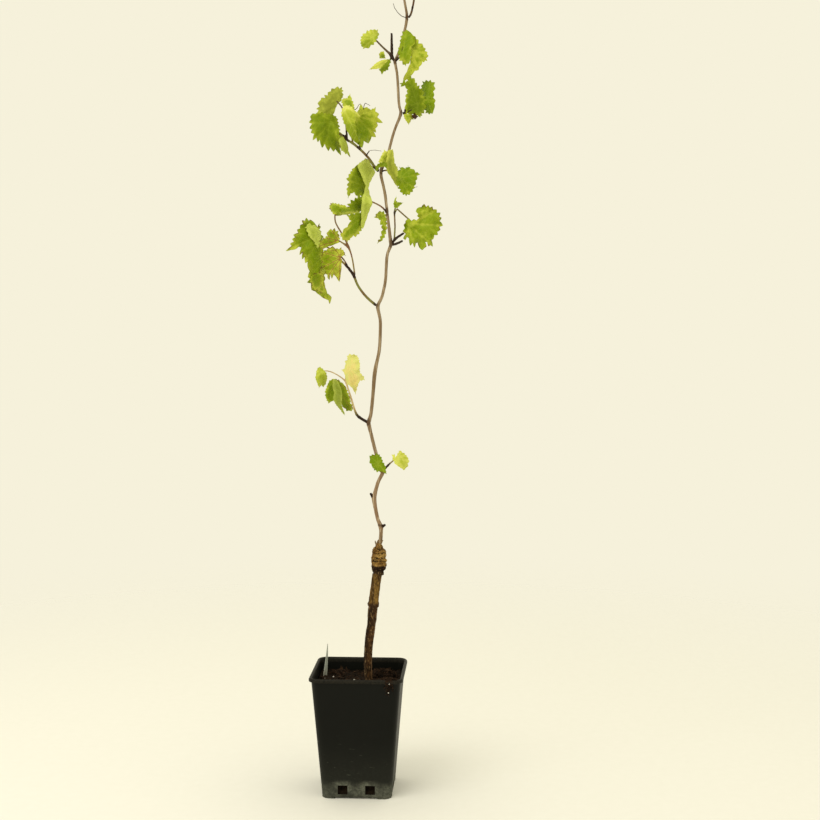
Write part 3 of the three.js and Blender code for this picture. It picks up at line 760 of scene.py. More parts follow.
def make_label():
    label = copy_of("label_strip", "plant_label")
    low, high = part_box("plant_label")
    bpy.ops.object.mode_set(mode="EDIT")
    for i in range(1, LABEL_LENGTHS):
        bpy.ops.mesh.select_all(action="SELECT")
        cut((0, 0, low.z + (high.z - low.z) * i / LABEL_LENGTHS), (0, 0, 1))
    bpy.ops.object.mode_set(mode="OBJECT")
    places = places_of(label)
    along = (places[:, 2] - low.z) / (high.z - low.z)
    # the part that shows narrows to a sliver of a point
    shown = np.clip((places[:, 2] - SOIL_LEVEL) / (high.z - SOIL_LEVEL), 0, 1)
    for axis in (0, 1):
        line = np.polyfit(places[:, 2], places[:, axis], 1)
        middle = np.polyval(line, places[:, 2])
        places[:, axis] = middle + (places[:, axis] - middle) * (1 - LABEL_TAPER * shown)
    places[:, 0] += LABEL_BOW * np.sin(math.pi * along)
    move_to(label, places)
    work(label, "BEVEL", width=0.0002, segments=2, limit_method="ANGLE", angle_limit=math.radians(40))
    smooth(label, 35)
    return label


def label_plastic():
    finish = Finish("pale_label_plastic")
    place = finish.place()
    cloud = finish.noise(place, 90, 3)
    soiled = 1 - finish.axis(place, "Z").between(SOIL_LEVEL, SOIL_LEVEL + 0.016)
    stain = (soiled * cloud.between(0.3, 0.6)) * 0.7
    clean = finish.mix(cloud, srgb(176, 184, 172), srgb(198, 203, 192))
    colour = finish.mix(stain, clean, srgb(110, 86, 62))
    return finish.surface(colour, 0.45 + stain * 0.4, cloud, 0.0001)


label = make_label()
label.data.materials.append(label_plastic())
stand_in(label, "label_plastic", "plant_label")

# %% [markdown]
# ## The wood
# Three kinds of bark are on this plant: the old stock's dark flakes, the cane's grey-brown fibres,
# and the thin green to brown skin of this year's shoots and leaf stalks. The plain limbs are short
# faceted lengths with hairline gaps between them. Copies of them are rounded by Subdivision Surface,
# swelled until they touch, and joined. A voxel remesh then makes one skin with real forks, fine
# enough to carry relief.

# %% Grow one skin over several limbs
LIMB_SWELL = 0.0004
TAGS = [  # how far across and back from the middle of the burl, length, and lean in degrees
    (-0.003, -0.003, 0.011, 14),
    (-0.0055, -0.001, 0.007, -25),
    (0.004, 0.004, 0.009, 20),
]
union_low, union_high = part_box("graft_union")
middle_of_union = (union_low + union_high) / 2


def one_skin(name, nodes, voxel, smoothing, extras=()):
    """The nodes' copies, rounded, swelled and grown together, with any extra pieces."""
    limbs = list(extras)
    for node in nodes:
        limb = copy_of("limb_" + node, node)
        bpy.ops.object.mode_set(mode="EDIT")
        bpy.ops.mesh.select_all(action="SELECT")
        bpy.ops.mesh.tris_convert_to_quads(
            face_threshold=math.radians(50), shape_threshold=math.radians(60)
        )
        # the flat ends keep their edge, so that one length still meets the next
        bpy.ops.mesh.select_all(action="DESELECT")
        bpy.ops.mesh.edges_select_sharp(sharpness=math.radians(55))
        bpy.ops.transform.edge_crease(value=1)
        bpy.ops.object.mode_set(mode="OBJECT")
        work(limb, "SUBSURF", levels=2, render_levels=2)
        move_to(limb, places_of(limb) + LIMB_SWELL * normals_of(limb))
        limbs.append(limb)
    take(*limbs)
    bpy.ops.object.join()
    skin = bpy.context.view_layer.objects.active
    skin.name = name
    work(skin, "REMESH", mode="VOXEL", voxel_size=voxel, adaptivity=0)
    work(skin, "SMOOTH", factor=0.5, iterations=smoothing)
    smooth(skin)
    print(name, "grown over", len(nodes), "limbs:", triangles(skin), "triangles")
    return skin


def dry_tags():
    """Dry stubs of pruned shoots beside the cane's foot, each a bent and tapered cone."""
    tags = []
    for across, back, long, lean in TAGS:
        bpy.ops.object.select_all(action="DESELECT")
        bpy.ops.mesh.primitive_cone_add(vertices=9, radius1=0.0016, radius2=0.0009, depth=long)
        tag = bpy.context.object
        bpy.ops.object.mode_set(mode="EDIT")
        bpy.ops.mesh.select_all(action="SELECT")
        bpy.ops.mesh.subdivide(number_cuts=3)
        bpy.ops.object.mode_set(mode="OBJECT")
        places = places_of(tag)
        places[:, 0] += 0.0012 * (places[:, 2] / long + 0.5) ** 2
        move_to(tag, places)
        tag.rotation_euler = (math.radians(-lean / 2), math.radians(lean), 0)
        tag.location = (middle_of_union.x + across, middle_of_union.y + back, union_high.z)
        bpy.ops.object.transform_apply(location=True, rotation=True, scale=True)
        tags.append(tag)
    return tags


TRUNK_NODES = ["rootstock_trunk", "graft_union"]
trunk = one_skin("trunk_and_union", TRUNK_NODES, voxel=0.0005, smoothing=5)
CANE_NODES = [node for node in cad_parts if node.startswith("main_cane")]
cane = one_skin("cane", CANE_NODES, voxel=0.0006, smoothing=5, extras=dry_tags())
SHOOT_NODES = [
    node
    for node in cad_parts
    if node.split("_")[0] in ("twig", "shoot", "stalk", "spur", "branch")
]
shoots = one_skin("shoots_and_stalks", SHOOT_NODES, voxel=0.00046, smoothing=4)
print("limbs covered:", len(TRUNK_NODES) + len(CANE_NODES) + len(SHOOT_NODES))

# %% [markdown]
# ### Bark in relief
# On the old stock the bark has cracked into long narrow plates, with an old pruning ring half way up,
# and it swells into knobs round the graft. On the cane it is fine lengthwise fibre, rough only at the
# joints. Relief in the mesh shows at the outline, where a bump map can't, so each point is moved along
# its normal by seeded noise that is stretched along the stem. How deep a crack is, how near a joint
# and which side of the trunk below the ring faces away from the light are kept as attributes, and the
# materials darken by them; the last is painted shade.

# %% Noise for bark
def step(values, low, high):
    """A soft step from 0 at low to 1 at high."""
    share = np.clip((values - low) / (high - low), 0, 1)
    return share * share * (3 - 2 * share)


def rough(places, across, up, octaves=3):
    """Uneven ground, about -1 to 1, with so many humps to the metre across and up the stem."""
    spots = places * (across, across, up)
    return np.array([noise.fractal(spot, 0.8, 2.0, octaves) for spot in spots])


def fissures(places, across, up, width=0.12):
    """1 along thin wandering lines that run with the stem, 0 on the strips between them."""
    return 1 - step(np.abs(rough(places, across, up, 4)), 0, width)


def hump(values, middle, reach):
    """1 at the middle, falling off to 0 a little beyond the reach."""
    return np.exp(-(((values - middle) / reach) ** 2))


def keep(piece, name, values):
    """Stores a number for each point of the mesh, for its material to read."""
    attribute = piece.data.attributes.new(name, "FLOAT", "POINT")
    attribute.data.foreach_set("value", np.asarray(values, np.float32))


print("bark noise ready")

# %% The trunk's plates, its ring and the burl
RING_LEVEL = union_low.z - 0.048  # an old pruning ring
TRUNK_RADIUS = 0.0072
BURL_NARROWING = 0.42
SNAGS = [  # which way each faces across and back, how far above the ring it is, and its size
    (1, -0.3, -0.004, 0.0022),
    (0.9, -0.4, -0.037, 0.0016),
    (-0.8, -0.6, -0.070, 0.0018),
]


def carve_trunk(piece):
    """Strips between cracks on the trunk, folds on the burl, the ring, and the snags."""
    places, out = places_of(piece), normals_of(piece)
    level = places[:, 2]
    on_union = step(level, union_low.z - 0.002, union_low.z + 0.004)
    strips = np.maximum(fissures(places, 210, 26), 0.7 * fissures(places + 1, 380, 55, 0.16))
    folds = np.maximum(fissures(places, 45, 150, 0.2), 0.7 * fissures(places + 1, 120, 300, 0.2))
    crack = strips * (1 - on_union) + folds * on_union
    lump = rough(places, 70, 30) * (1 - on_union) + 3.0 * rough(places, 80, 130) * on_union
    rise = 0.3 * rough(places, 800, 110) + 0.25 * rough(places, 330, 90) + 0.7 * lump
    rise -= (0.7 + 1.3 * on_union) * crack
    rise += 1.2 * hump(level, RING_LEVEL, 0.0026) - 0.8 * hump(level, RING_LEVEL - 0.0055, 0.0018)
    middle = places[np.abs(level - RING_LEVEL) < 0.001].mean(axis=0)
    for side, front, above, size in SNAGS:
        foot = middle + (TRUNK_RADIUS * side, TRUNK_RADIUS * front, above)
        rise += 2.4 * np.exp(-(np.linalg.norm(places - foot, axis=1) ** 2) / size**2)
    rise -= rise.mean()
    rise -= 0.8 * on_union * (1 - step(level, union_low.z + 0.012, union_low.z + 0.016))
    above_soil = step(level, SOIL_LEVEL, SOIL_LEVEL + 0.002)
    moved = places + MM * (rise * above_soil)[:, None] * out
    # the burl narrows to its top like a fist
    narrow = BURL_NARROWING * step(level, union_high.z - 0.017, union_high.z)[:, None]
    moved[:, :2] += (np.array(middle_of_union)[:2] - moved[:, :2]) * narrow
    move_to(piece, moved)
    keep(piece, "crack", crack)
    keep(piece, "joint", hump(level + 0.0015 * rough(places, 150, 150), RING_LEVEL, 0.0035))
    # painted shade: below the ring, the side whose surface faces left, away from the light, is darkened
    painted_shade_side = step(0.3 * rough(places, 120, 30) - out[:, 0], -0.2, 0.55)
    keep(piece, "shaded_side", painted_shade_side * (1 - step(level, RING_LEVEL - 0.012, RING_LEVEL - 0.002)))


carve_trunk(trunk)
print("bark strips carved:", triangles(trunk), "triangles")


# %% Old bark
def old_bark():
    finish = Finish("old_flaking_bark")
    place = finish.place()
    level = finish.axis(place, "Z")
    patch = finish.noise(place, 75, 4, 0.65)
    fleck = finish.noise(finish.stretched(420, 150), 1, 4, 0.65)
    fibre = finish.noise(finish.stretched(700, 60), 1, 4, 0.6)
    streak = finish.noise(finish.stretched(170, 9), 1, 2)
    crack = finish.attribute("crack")
    ring = finish.attribute("joint")
    above_ring = level.between(RING_LEVEL - 0.002, RING_LEVEL + 0.004)
    uneven = level + (patch - 0.5) * 0.008
    cap = uneven.between(union_low.z + 0.0135, union_low.z + 0.0165)
    on_union = level.between(union_low.z - 0.001, union_low.z + 0.003)
    burl = on_union * (1 - cap)
    low_bark = finish.mix(patch.between(0.4, 0.62), srgb(46, 30, 14), srgb(88, 60, 32))
    low_bark = finish.mix(streak.between(0.52, 0.6) * 0.5, low_bark, srgb(146, 118, 88))
    high_bark = finish.mix(patch.between(0.35, 0.6), srgb(96, 70, 28), srgb(140, 108, 50))
    high_bark = finish.mix(streak.between(0.46, 0.52) * 0.8, high_bark, srgb(60, 40, 16))
    # painted shade: the left-facing side of the trunk below the ring is darkened
    low_bark = finish.mix(finish.attribute("shaded_side") * 0.72, low_bark, srgb(20, 12, 5))
    colour = finish.mix(above_ring, low_bark, high_bark)
    colour = finish.mix(burl * 0.92, colour, srgb(38, 24, 16))
    cap_colour = finish.mix(patch.between(0.38, 0.62), srgb(122, 88, 38), srgb(176, 142, 78))
    colour = finish.mix(cap, colour, cap_colour)
    colour = finish.mix(fibre.between(0.45, 0.7) * 0.4, colour, srgb(66, 43, 27))
    colour = finish.mix(fleck.between(0.56, 0.72) * 0.5, colour, srgb(52, 33, 20))
    colour = finish.mix(fleck.between(0.46, 0.32) * 0.5, colour, srgb(176, 146, 100))
    colour = finish.mix(crack.between(0.2, 0.95) * (0.7 + on_union * 0.25), colour, srgb(30, 19, 9))
    colour = finish.mix(ring.between(0.2, 1.0) * 0.55, colour, srgb(52, 32, 19))
    height = fibre + (1 - crack) * 0.5 + finish.noise(place, 1400, 2) * 0.3
    return finish.surface(colour, 0.88, height, 0.0008, 0.9, Specular_IOR_Level=0.15)


trunk.data.materials.append(old_bark())
stand_in(trunk, "old_bark", "rootstock_trunk", "graft_union")

# %% [markdown]
# ### The cane and this year's shoots
# The cane is last year's wood: thin grey-brown bark with long pale fibres, and dark scars where leaves
# and shoots leave it. Such a scar needs no list, because the shoots' own mesh tells where they touch
# the cane. The shoots are green under a brown skin that is darkest where they start and fork.

# %% Carve the cane and the shoots
FORKS = [  # where shoots branch, in mm
    (-7, 19, 833), (-20, 22, 850), (58, -7, 932), (3, -16, 1033), (54, -1, 1176), (87, -3, 1250),
]
CANE_STUBS = [  # dry black ends of pruned wood on the cane, from foot to tip, in mm
    ((39, -2, 432), (43, -3, 434)), ((21.5, 2, 480), (19, 1, 484)), ((38, 2, 1003), (41, 3, 1007)),
]
BLACK_LENGTHS = [  # where the side shoots and stubs have gone black
    ((45, -5, 528), (49, -6, 532)), ((16, -5, 601), (-3, -8, 610)), ((-7, 19, 833), (-20, 22, 850)),
    ((57, -5, 884), (71, -7, 888)), ((57, -5, 888), (73, -8, 900)), ((31, -2, 1000), (27, -4, 1003)),
    ((-15, -21, 1045), (-21, -22, 1052)), ((-16, -20, 1049), (-18, -16, 1057)),
    ((72, 5, 1089), (79, 7, 1091)), ((75, 6, 1089), (76, 2, 1097)), ((57, -2, 1171), (54, -1, 1177)),
    ((54, -1, 1176), (54, -1, 1212)), ((61, -4, 1169), (66, -9, 1173)),
]
DRY_SHOOT_LEVEL = 0.613  # above this the lowest shoot is dry and pale
GIRTH_SLICE = 0.002


def along(lengths):
    """Places every millimetre or so along straight lengths, each given by its two ends."""
    spots = []
    for start, end in np.array(lengths, float):
        shares = np.linspace(0, 1, max(2, round(np.linalg.norm(end - start))))
        spots.append(start + (end - start) * shares[:, None])
    return np.vstack(spots) * MM


def tree_of(places):
    tree = KDTree(len(places))
    for i, place in enumerate(places):
        tree.insert(place, i)
    tree.balance()
    return tree


def distance_to(tree, places):
    return np.array([tree.find(place)[2] for place in places])


def cane_girth(places):
    """How much wider than its surroundings the cane is at each height, as a share."""
    up = (places[:, 2] - places[:, 2].min()) / GIRTH_SLICE
    of = up.astype(int)
    count = np.maximum(np.bincount(of), 1)
    middle = [np.bincount(of, places[:, k]) / count for k in (0, 1)]
    reach = np.hypot(places[:, 0] - middle[0][of], places[:, 1] - middle[1][of])
    radius = np.bincount(of, reach) / count
    usual = np.convolve(np.pad(radius, 12, mode="edge"), np.ones(25) / 25, mode="valid")
    return np.interp(up - 0.5, np.arange(len(radius)), radius / usual)


def carve_cane(piece, touching):
    """Fine ridges, and rough scars at the joints and where shoots touch the cane."""
    places, out = places_of(piece), normals_of(piece)
    girth = cane_girth(places)
    scar = 1 - step(distance_to(touching, places), 0.002, 0.0065)
    uneven = 0.3 * rough(places, 260, 170)
    joint = np.clip(np.maximum(step(girth, 1.1, 1.4), scar) + uneven * step(girth, 1, 1.15), 0, 1)
    ridge = rough(places, 620, 42)
    black = 1 - step(distance_to(tree_of(along(CANE_STUBS)), places), 0.0023, 0.0036)
    rise = 0.16 * ridge + 0.1 * rough(places, 90, 40) + joint * 0.55 * rough(places, 380, 260)
    rise += 0.5 * black
    move_to(piece, places + MM * rise[:, None] * out)
    keep(piece, "joint", joint)
    keep(piece, "black", black)
    keep(piece, "crack", step(-ridge, 0.05, 0.5))


def carve_shoots(piece, cane_tree):
    """Rough where shoots start and fork, swollen where they are black, and one dry and thin."""
    places, out = places_of(piece), normals_of(piece)
    scar = 1 - step(distance_to(cane_tree, places), 0.002, 0.009)
    fork = 1 - step(distance_to(tree_of(np.array(FORKS) * MM), places), 0.002, 0.007)
    joint = np.maximum(scar, fork)
    uneven = 0.0012 * rough(places, 250, 250)
    black = 1 - step(distance_to(tree_of(along(BLACK_LENGTHS)), places) + uneven, 0.0022, 0.0048)
    rise = 0.07 * rough(places, 420, 90) + joint * 0.4 * rough(places, 420, 300)
    rise += black * (0.35 + 0.4 * rough(places, 420, 200))
    dry_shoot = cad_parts["shoot_d"].data
    skin = BVHTree.FromPolygons(
        [corner.co for corner in dry_shoot.vertices], [face.vertices for face in dry_shoot.polygons]
    )
    on_dry = 1 - step(np.array([skin.find_nearest(place)[3] for place in places]), 0.001, 0.002)
    dry = on_dry * step(places[:, 2], DRY_SHOOT_LEVEL, DRY_SHOOT_LEVEL + 0.012)
    move_to(piece, places + MM * (rise * (1 - dry) - 0.35 * dry)[:, None] * out)
    keep(piece, "joint", joint)
    keep(piece, "black", black)
    keep(piece, "dry", dry)
    # a point belongs to a shoot or to a thin stalk, whichever is nearer
    shoot_limbs = [places_of(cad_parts[node]) for node in SHOOT_NODES if "shoot" in node]
    stalk_limbs = [places_of(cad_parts[node]) for node in SHOOT_NODES if "shoot" not in node]
    from_shoot = distance_to(tree_of(np.vstack(shoot_limbs)), places)
    from_stalk = distance_to(tree_of(np.vstack(stalk_limbs)), places)
    keep(piece, "stalk", step(from_shoot - from_stalk, -0.0005, 0.0005))


cane_tree = tree_of(places_of(cane))
shoot_places = places_of(shoots)
touching = shoot_places[distance_to(cane_tree, shoot_places) < 0.0012]
print("shoot points that touch the cane:", len(touching))
carve_cane(cane, tree_of(touching))
carve_shoots(shoots, cane_tree)


# %% Cane bark and shoot bark
def cane_bark():
    finish = Finish("fibrous_cane_bark")
    place = finish.place()
    level = finish.axis(place, "Z")
    joint = finish.attribute("joint")
    crack = finish.attribute("crack")
    fibre = finish.noise(finish.stretched(900, 45), 1, 4, 0.6)
    streak = finish.noise(finish.stretched(420, 12), 1, 2)
    patch = finish.noise(place, 22, 3)
    colour = finish.mix(patch.between(0.35, 0.65), srgb(134, 112, 84), srgb(158, 138, 108))
    colour = finish.mix((1 - level.between(0.47, 0.6)) * 0.4, colour, srgb(146, 110, 84))
    colour = finish.mix((1 - level.between(0.405, 0.44)) * 0.7, colour, srgb(104, 84, 56))
    colour = finish.mix(streak.between(0.53, 0.66) * 0.75, colour, srgb(196, 178, 148))
    colour = finish.mix(crack * 0.55, colour, srgb(98, 74, 50))
    colour = finish.mix(fibre.between(0.5, 0.72) * 0.45, colour, srgb(92, 70, 48))
    colour = finish.mix(joint.between(0.15, 0.8) * 0.7, colour, srgb(66, 43, 27))
    colour = finish.mix(finish.attribute("black"), colour, srgb(42, 26, 12))
    return finish.surface(colour, 0.82, fibre + streak * 0.5, 0.0006, 0.8, Specular_IOR_Level=0.2)


def shoot_bark():
    finish = Finish("green_to_brown_shoot_bark")
    place = finish.place()
    joint = finish.attribute("joint")
    stalk = finish.attribute("stalk")
    patch = finish.noise(place, 90, 3)
    fleck = finish.noise(finish.stretched(600, 120), 1, 3)
    shoot = finish.mix(patch.between(0.38, 0.62), srgb(122, 122, 58), srgb(112, 88, 50))
    thin = finish.mix(patch.between(0.4, 0.6), srgb(124, 88, 62), srgb(140, 122, 66))
    colour = finish.mix(stalk, shoot, thin)
    high_up = finish.axis(place, "Z").between(1.03, 1.14)
    colour = finish.mix(high_up * 0.75, colour, srgb(80, 56, 44))
    straw = finish.mix(patch.between(0.4, 0.6), srgb(206, 184, 134), srgb(178, 148, 100))
    dry = finish.attribute("dry")
    colour = finish.mix(fleck.between(0.55, 0.7) * 0.5, colour, srgb(66, 44, 28))
    colour = finish.mix(joint.between(0.25, 0.85) * 0.92, colour, srgb(44, 27, 18))
    colour = finish.mix(dry, colour, straw)
    colour = finish.mix(finish.attribute("black"), colour, srgb(42, 25, 12))
    return finish.surface(colour, 0.6, fleck, 0.0004, 0.6, Specular_IOR_Level=0.2)


cane.data.materials.append(cane_bark())
stand_in(cane, "cane_bark", *CANE_NODES)
shoots.data.materials.append(shoot_bark())
stand_in(shoots, "shoot_bark", *SHOOT_NODES)

# %% [markdown]
# ## The leaves
# A vine leaf is a thin lobed blade with coarse teeth. Its main veins fan out from where the stalk
# joins, and the blade swells up between them and waves at its edge. One leaf could be copied all over
# the plant, but these leaves differ too much for that: some show their undersides, some are folded
# or rolled, and each hangs in its own way. So each blade is drafted from a few corners. The corners
# give the lobes, a rule adds the teeth, points are strewn inside and joined into triangles, and the
# depth of every point comes from the plain blade in the frame. A folded leaf is drafted in parts.

# %% Draft a toothed margin
TOOTH_PITCH = 7.2  # mm from tooth to tooth
TOOTH_DEPTH = 5.2
NOTCH_SHARE = 0.28  # the most that a notch takes of a narrow lobe's width
POINT_PITCH = 1.7
leaf_dice = np.random.default_rng(5)


def room_across(place, inward, corners):
    """How far it is from a place on the margin straight across the blade to its other side."""
    run = np.roll(corners, -1, axis=0) - corners
    off = corners - place
    turn = inward[0] * run[:, 1] - inward[1] * run[:, 0]
    with np.errstate(divide="ignore", invalid="ignore"):
        ahead = (off[:, 0] * run[:, 1] - off[:, 1] * run[:, 0]) / turn
        share = (off[:, 0] * inward[1] - off[:, 1] * inward[0]) / turn
    hit = (share >= 0) & (share <= 1) & (ahead > 0.05)
    return ahead[hit].min() if hit.any() else 50


def toothed(corners, smooth_sides, tooth):
    """The margin in mm, anticlockwise: a tooth on each corner that juts out, and more between."""
    loop = []
    before = corners - np.roll(corners, 1, axis=0)
    after = np.roll(corners, -1, axis=0) - corners
    juts = before[:, 0] * after[:, 1] > before[:, 1] * after[:, 0]
    for i, start in enumerate(corners):
        side = after[i]
        long = np.hypot(*side)
        inward = np.array([-side[1], side[0]]) / long
        if i in smooth_sides:
            shares = np.arange(0, 0.999, POINT_PITCH / long)
            sunk = -0.05 * long * np.sin(math.pi * shares)
            loop.extend(start + side * share + inward * deep for share, deep in zip(shares, sunk))
            continue
        # half teeth, up and down by turns, from this corner to the next
        pitch = TOOTH_PITCH * (0.45 + 0.55 * tooth)
        if juts[i] == juts[(i + 1) % len(corners)]:
            halves = 2 * max(1, round(long / pitch))
        else:
            halves = 2 * max(0, round(long / pitch - 0.5)) + 1
        deep = min(TOOTH_DEPTH * tooth, (0.3 + 0.9 * tooth**2) * long / halves)
        shares = (np.arange(halves + 1) + leaf_dice.uniform(-0.22, 0.22, halves + 1)) / halves
        up = (np.arange(halves + 1) + (0 if juts[i] else 1)) % 2 == 0
        sunk = np.where(up, -0.35, 0.65) * deep * leaf_dice.uniform(0.55, 1.35, halves + 1)
        shares[[0, -1]], sunk[[0, -1]] = (0, 1), 0
        room = [room_across(start + side * share, inward, corners) for share in shares]
        sunk = np.minimum(sunk, NOTCH_SHARE * np.array(room))
        for k in range(halves):
            loop.append(start + side * shares[k] + inward * sunk[k])
            half_way = (sunk[k] + sunk[k + 1]) / 2 - 0.06 * deep
            loop.append(start + side * (shares[k] + shares[k + 1]) / 2 + inward * half_way)
    return np.array(loop)


def inside(points, loop):
    """Which points lie inside a closed outline."""
    crossings = np.zeros(len(points), int)
    for (x1, z1), (x2, z2) in zip(loop, np.roll(loop, -1, axis=0)):
        spans = (z1 > points[:, 1]) != (z2 > points[:, 1])
        with np.errstate(divide="ignore", invalid="ignore"):
            meets = x1 + (points[:, 1] - z1) / (z2 - z1) * (x2 - x1)
        crossings += spans & (points[:, 0] < meets)
    return crossings % 2 == 1


print("teeth every", TOOTH_PITCH, "mm")

# %% [markdown]
# ### Veins, and points between them
# The main veins run from the end of the stalk to the farthest corners of the blade, in different
# directions. Points stand along them, along the margin and, jittered, all over between. Blender's
# Delaunay routine joins the points inside the margin into triangles of about one size.

# %% Run the veins and strew the points
MOST_VEINS = 7
VEIN_SPREAD = math.radians(27)  # the least angle between two main veins
SHORTEST_VEIN = 0.4  # as a share of the longest


def along_lines(points, starts, ends):
    """For each point and each straight line: how far along it lies, and how far from it."""
    run = ends - starts
    long = np.maximum(np.hypot(run[:, 0], run[:, 1]), 1e-9)
    ahead = ((points[:, None, :] - starts) * run).sum(axis=2) / long
    nearest = starts + run * (np.clip(ahead / long, 0, 1))[:, :, None]
    away = np.linalg.norm(points[:, None, :] - nearest, axis=2)
    return ahead, away


def from_margin(points, loop):
    return along_lines(points, loop, np.roll(loop, -1, axis=0))[1].min(axis=1)


def from_veins(points, start, tips):
    """How far along its nearest main vein each point lies, and how far from it."""
    ran, away = along_lines(points, start, tips)
    own = away.argmin(axis=1)
    row = np.arange(len(points))
    return ran[row, own], away[row, own]


def vein_start(wanted, loop):
    """The veins' meeting point: the place wanted, or the nearest one inside the margin."""
    if inside(wanted[None], loop)[0]:
        return wanted
    nearest = loop[np.argmin(np.hypot(*(loop - wanted).T))]
    return nearest + (loop.mean(axis=0) - nearest) * 0.04


def vein_tips(corners, start, loop):
    """The farthest corners in different directions, which the main veins run to."""
    off = corners - start
    reach = np.hypot(off[:, 0], off[:, 1])
    heading = np.arctan2(off[:, 1], off[:, 0])
    tips = []
    for k in np.argsort(-reach):
        apart = [abs((heading[k] - heading[t] + math.pi) % (2 * math.pi) - math.pi) for t in tips]
        crowded = len(tips) == MOST_VEINS or (apart and min(apart) < VEIN_SPREAD)
        if crowded or reach[k] < SHORTEST_VEIN * reach.max():
            continue
        way = start + off[k] * np.linspace(0.15, 0.85, 5)[:, None]
        if inside(way, loop).all():
            tips.append(k)
    return corners[tips or [np.argmax(reach)]]


def strewn(loop, start, tips):
    """The flat blade's points and triangles."""
    vein_points = [
        start + (tip - start) * share
        for tip in tips
        for share in np.arange(0, 0.93, POINT_PITCH / np.hypot(*(tip - start)))
    ]
    low, high = loop.min(axis=0), loop.max(axis=0)
    rows = np.arange(low[1], high[1], POINT_PITCH * 0.87)
    field = [
        (x + (0.5 * POINT_PITCH if row % 2 else 0), z)
        for row, z in enumerate(rows)
        for x in np.arange(low[0], high[0], POINT_PITCH)
    ]
    field = np.array(field) + leaf_dice.uniform(-0.25, 0.25, (len(field), 2)) * POINT_PITCH
    clear = along_lines(field, start, tips)[1].min(axis=1) > 0.5 * POINT_PITCH
    inner = np.vstack([np.array(vein_points), field[clear]])
    inner = inner[inside(inner, loop)]
    inner = inner[from_margin(inner, loop) > 0.5 * POINT_PITCH]
    points = [Vector(point) for point in np.vstack([loop, inner])]
    rim = [(i, (i + 1) % len(loop)) for i in range(len(loop))]
    flat, _, faces, *_ = geometry.delaunay_2d_cdt(points, rim, [], 1, 1e-4)
    return np.array([tuple(point) for point in flat]), [tuple(face) for face in faces]


print("at most", MOST_VEINS, "main veins, points every", POINT_PITCH, "mm")

# %% [markdown]
# ### How a blade hangs
# The plain blade of each leaf is a thick lens. A smooth bowl fitted through its points says how deep
# the leaf lies at each place across and up, so the fine blade hangs exactly where the plain one does.
# Near its own stalk the blade is drawn forward, just clear of it, so that the stalk doesn't poke
# through. The corners are drafted in the plane of the cane, so what lies behind that plane is drawn
# a little larger.

# %% Find how each leaf hangs
STALK_CLEARANCE = 1.3  # mm from a stalk's middle to the blade in front of it
limb_tree = tree_of(np.vstack([places_of(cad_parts[n]) for n in CANE_NODES + SHOOT_NODES]))
stalk_points = np.vstack([places_of(shoots)[::7], places_of(cane)[::7]]) / MM


def bowl_through(node):
    """A function that gives a leaf's depth at places across and up, in mm."""
    places = places_of(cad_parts[node]) / MM
    middle = places.mean(axis=0)

    def terms(across, up):
        x, z = (across - middle[0]) / 50, (up - middle[2]) / 50
        return np.column_stack([np.ones(len(x)), x, z, x * x, x * z, z * z])

    weights = np.linalg.lstsq(terms(places[:, 0], places[:, 2]), places[:, 1], rcond=None)[0]
    return lambda across, up: terms(across, up) @ weights


def seat_of(node):
    """Where the leaf's stalk reaches it, in mm."""
    near = [limb_tree.find(place) for place in places_of(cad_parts[node])]
    return np.array(min(near, key=lambda found: found[2])[0]) / MM


def clear_of_stalk(x, z, depth, seat):
    """The depths, drawn forward where the leaf's own stalk would poke through the blade."""
    near = stalk_points[np.linalg.norm(stalk_points - seat, axis=1) < 32]
    if len(near) == 0:
        return depth
    gap = np.hypot(x[:, None] - near[:, 0], z[:, None] - near[:, 2])
    closest = gap.min(axis=1)
    front = np.where(gap < closest[:, None] + 1.5, near[:, 1], np.inf).min(axis=1)
    cover = 1 - step(closest, 2, 10)
    return depth - cover * np.maximum(depth - (front - STALK_CLEARANCE), 0)


def spread_behind(x, z, depth, seat):
    """The places in metres, with what lies behind the cane's plane drawn larger."""
    eye = np.array(CAMERA_PLACE) / MM
    from_seat = 1 - np.exp(-((np.hypot(x - seat[0], z - seat[2]) / 12) ** 2))
    grow = from_seat * depth / -eye[1]
    return np.column_stack([x + (x - eye[0]) * grow, depth, z + (z - eye[2]) * grow]) * MM


def relief(flat, edge, away, seed, puff, wave, roll):
    """How far each point stands off the smooth bowl, in mm."""
    lift = puff * (1 - np.exp(-((away / 4) ** 2))) - 0.4 * puff
    near_rim = 1 - step(edge, 0, 11)
    lift += wave * (1.3 * ripple(flat, 17, seed) * near_rim + 0.9 * ripple(flat, 30, seed + 1))
    lift += 0.25 * ripple(flat, 7, seed + 2)
    up = flat[:, 1]
    return lift - roll * ((up - up.mean()) / max(np.ptp(up) / 2, 1)) ** 2


print("stalk points that blades keep clear of:", len(stalk_points))

# %% [markdown]
# ### From an outline to a blade
# Each blade goes into the spray of its tint. For its material it keeps how far along and away from
# the nearest vein each point is, how far from the margin, and how dark, yellow or brown it is there.

# %% Make one blade
sprays = {"green": [], "dark": [], "lime": [], "yellow": []}


def turns_left(corners):
    x, z = corners.T
    return np.sum(x * np.roll(z, -1) - np.roll(x, -1) * z) >= 0


